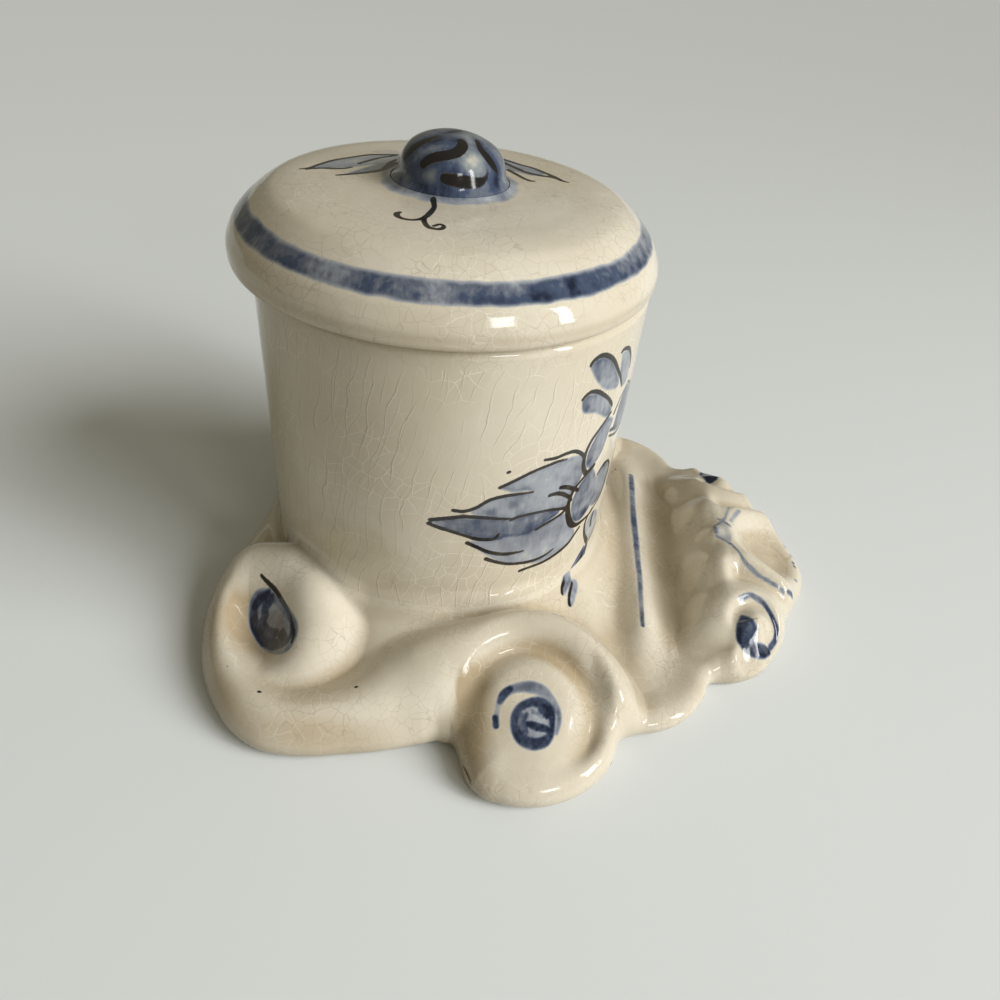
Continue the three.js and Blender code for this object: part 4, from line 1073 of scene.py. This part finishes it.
# Knob: a low bud, its round section pressed into soft lobes.
knobGrid = lidGrid([lidForm["section"][-1]] + lidForm["knob"], lidForm["knobGrid"])
kx, ky, kz = (knobGrid[:, :, i] for i in range(3))
ka = np.arctan2(ky, kx - lidForm["shift"])
lobe = (0.022 * np.sin(3 * ka + 0.6) + 0.014 * np.sin(5 * ka + 2.0)) * smooth(kz, 117.0, 119.5) * (
    1 - smooth(kz, 124, 127.25)) - 0.012
knobGrid[:, :, 0] = lidForm["shift"] + (kx - lidForm["shift"]) * (1 + lobe)
knobGrid[:, :, 1] = ky * (1 + lobe)
knobGrid[:, :, 2] -= 0.35 * bell(np.hypot(kx + 4, ky + 1), 3.2) * smooth(kz, 124, 126)
knobNormals = gridNormals(knobGrid)
knobNormals[:, -1] = [0, 0, 1]
centre = np.array([lidForm["shift"], 0, 0])
knobGap = spaceGap(knobGrid - centre, lidPaint["knobInk"])
knobWash = 0.62 + 0.22 * waviness(kx, ky, kz, 12, 21) + 0.25 * (1 - smooth(kz, 117, 119))
for bx, by, bz, size, density in lidPaint["knobBlots"]:
    knobWash += density * bell(np.linalg.norm(knobGrid - centre - [bx, by, bz], axis=2), 1.5 * size)
knobWash = np.clip(knobWash + 0.35 * bell(knobGap, 1.2), 0.12, 1.25)
gridPiece("lidKnob", knobGrid, knobNormals, dict(poolAndPaintedLight=0 * knobWash, wash=knobWash, inkGap=knobGap),
          "lid", knobGlaze)


# Underside of the lid: seat, flange that drops into the mouth, and the hollow under the crown.
def lidUnderSection():
    f = lidForm
    flange = bodyForm["radius"] - bodyForm["wall"] - f["flangeFit"]
    inner = flange - f["flangeWall"]
    low = f["seat"] - f["flangeDepth"]
    dome = f["top"] - f["wall"]
    return [(0, dome), (inner - 16, dome - 0.2), (inner - f["wall"], dome - 0.3 * f["wall"]),
            (inner - 0.8, dome - 0.85 * f["wall"]), (inner, dome - 1.3 * f["wall"]),
            (inner, low + 1.2), (inner + 0.4, low + 0.3), (inner + 1.4, low), (flange - 1.3, low),
            (flange - 0.35, low + 0.35), (flange, low + 1.3), (flange, f["seat"] - 0.6),
            (flange + 0.25, f["seat"] - 0.05), (flange + 1.0, f["seat"] + 0.02), (51.0, f["seat"] + 0.02),
            lidForm["section"][0]]


underLid = lidGrid(lidUnderSection(), lidForm["underGrid"])
underNormals = gridNormals(underLid)
underNormals[:, 0] = [0, 0, -1]
gridPiece("lidUnderside", underLid, underNormals, unpainted(underLid, 0.2),
          "lid", lidGlaze)

for name in ("scrollBaseNear", "scrollBaseFar", "underside", "bodyWallFront", "bodyWallNearBack",
             "bodyWallFarBack", "mouthAndInside"):
    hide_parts("jar")
for name in ("lidCrown", "lidKnob", "lidUnderside"):
    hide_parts("lid")
print("pieces replace their nodes")


studio = dict(
    floorColour=(0.76, 0.79, 0.79), floorBounce=(0.38, 0.37, 0.31), floorRough=0.6, floorHalf=9,
    floorDrop=-0.0002, cameraAt=(18.4, -186.4, 171.4), pitch=39.01, roll=6.73,
    focal=751.0,  # pixels of a picture 1000 wide
    worldColour=(1.0, 0.93, 0.70), world=0.2, sun=2.95, sunFrom=(0.80, -0.25, 0.50), sunAngle=38,
    lamps=[  # name, place in mm, aimed at, width, height in mm, watts
        ("windowFront", (430, -612, 387), (10, 0, 60), 170, 110, 0.7),
        ("windowSide", (705, -285, 350), (10, 0, 60), 110, 360, 1.5)])

# floor: pale where it is seen, duller in the light that it sends back
floorMat = bpy.data.materials.new("paleFloor")
floorMat.use_nodes = True
fn, fl = floorMat.node_tree.nodes, floorMat.node_tree.links
shader = fn["Principled BSDF"]
shader.inputs["Roughness"].default_value = studio["floorRough"]
seen = fn.new("ShaderNodeLightPath")
either = fn.new("ShaderNodeMath")
either.operation = "MAXIMUM"
fl.new(seen.outputs["Is Camera Ray"], either.inputs[0])
fl.new(seen.outputs["Is Glossy Ray"], either.inputs[1])
tone = fn.new("ShaderNodeMix")
tone.data_type = "RGBA"
fl.new(either.outputs[0], tone.inputs["Factor"])
for i, key in ((6, "floorBounce"), (7, "floorColour")):  # its colour sockets
    tone.inputs[i].default_value = (*studio[key], 1)
fl.new(tone.outputs[2], shader.inputs["Base Color"])
wide, low = studio["floorHalf"], studio["floorDrop"]
floorMesh = bpy.data.meshes.new("floor")
floorMesh.from_pydata([(-wide, -wide, low), (wide, -wide, low), (wide, wide, low), (-wide, wide, low)],
                      [], [(0, 1, 2, 3)])
floorMesh.materials.append(floorMat)
floor = placed("floor", floorMesh)

sunData = bpy.data.lights.new("softKey", "SUN")
sunData.energy = studio["sun"]
sunData.angle = math.radians(studio["sunAngle"])
sun = placed("softKey", sunData)
sun.visible_glossy = False  # the window lamps alone make the highlights
sun.rotation_euler = Vector(studio["sunFrom"]).to_track_quat("Z", "Y").to_euler()
for name, place, aim, width, tall, watts in studio["lamps"]:
    data = bpy.data.lights.new(name, "AREA")
    data.shape = "RECTANGLE"
    data.size, data.size_y = width * mm, tall * mm
    data.energy = watts
    lamp = placed(name, data)
    lamp.location = Vector(place) * mm
    lamp.rotation_euler = (Vector(aim) - Vector(place)).to_track_quat("-Z", "Y").to_euler()

# world: white to the camera, dim and warm in the light that it gives
world = bpy.data.worlds.new("studioWorld")
bpy.context.scene.world = world
world.use_nodes = True
wn, wl = world.node_tree.nodes, world.node_tree.links
wn.clear()
seen = wn.new("ShaderNodeLightPath")
white = wn.new("ShaderNodeBackground")
white.inputs["Strength"].default_value = 1
soft = wn.new("ShaderNodeBackground")
soft.inputs["Color"].default_value = (*studio["worldColour"], 1)
soft.inputs["Strength"].default_value = studio["world"]
pick = wn.new("ShaderNodeMixShader")
wl.new(seen.outputs["Is Camera Ray"], pick.inputs[0])
wl.new(soft.outputs[0], pick.inputs[1])
wl.new(white.outputs[0], pick.inputs[2])
wl.new(pick.outputs[0], wn.new("ShaderNodeOutputWorld").inputs[0])

# camera: looks along +Y and down by the pitch, rolled round its own line of sight
pitch, roll = math.radians(studio["pitch"]), math.radians(studio["roll"])
ahead = Vector((0, math.cos(pitch), -math.sin(pitch)))
side = Vector((1, 0, 0))
up = side.cross(ahead)
right = side * math.cos(roll) + up * math.sin(roll)
top = up * math.cos(roll) - side * math.sin(roll)
cameraData = bpy.data.cameras.new("camera")
cameraData.sensor_width = 36
cameraData.lens = studio["focal"] * cameraData.sensor_width / 1000
cameraData.clip_start = 0.01
camera = placed("camera", cameraData)
camera.matrix_world = Matrix.Translation(Vector(studio["cameraAt"]) * mm) @ Matrix(
    (right, top, -ahead)).transposed().to_4x4()
bpy.context.scene.camera = camera
bpy.context.scene.view_settings.view_transform = "Standard"
print("studio set")
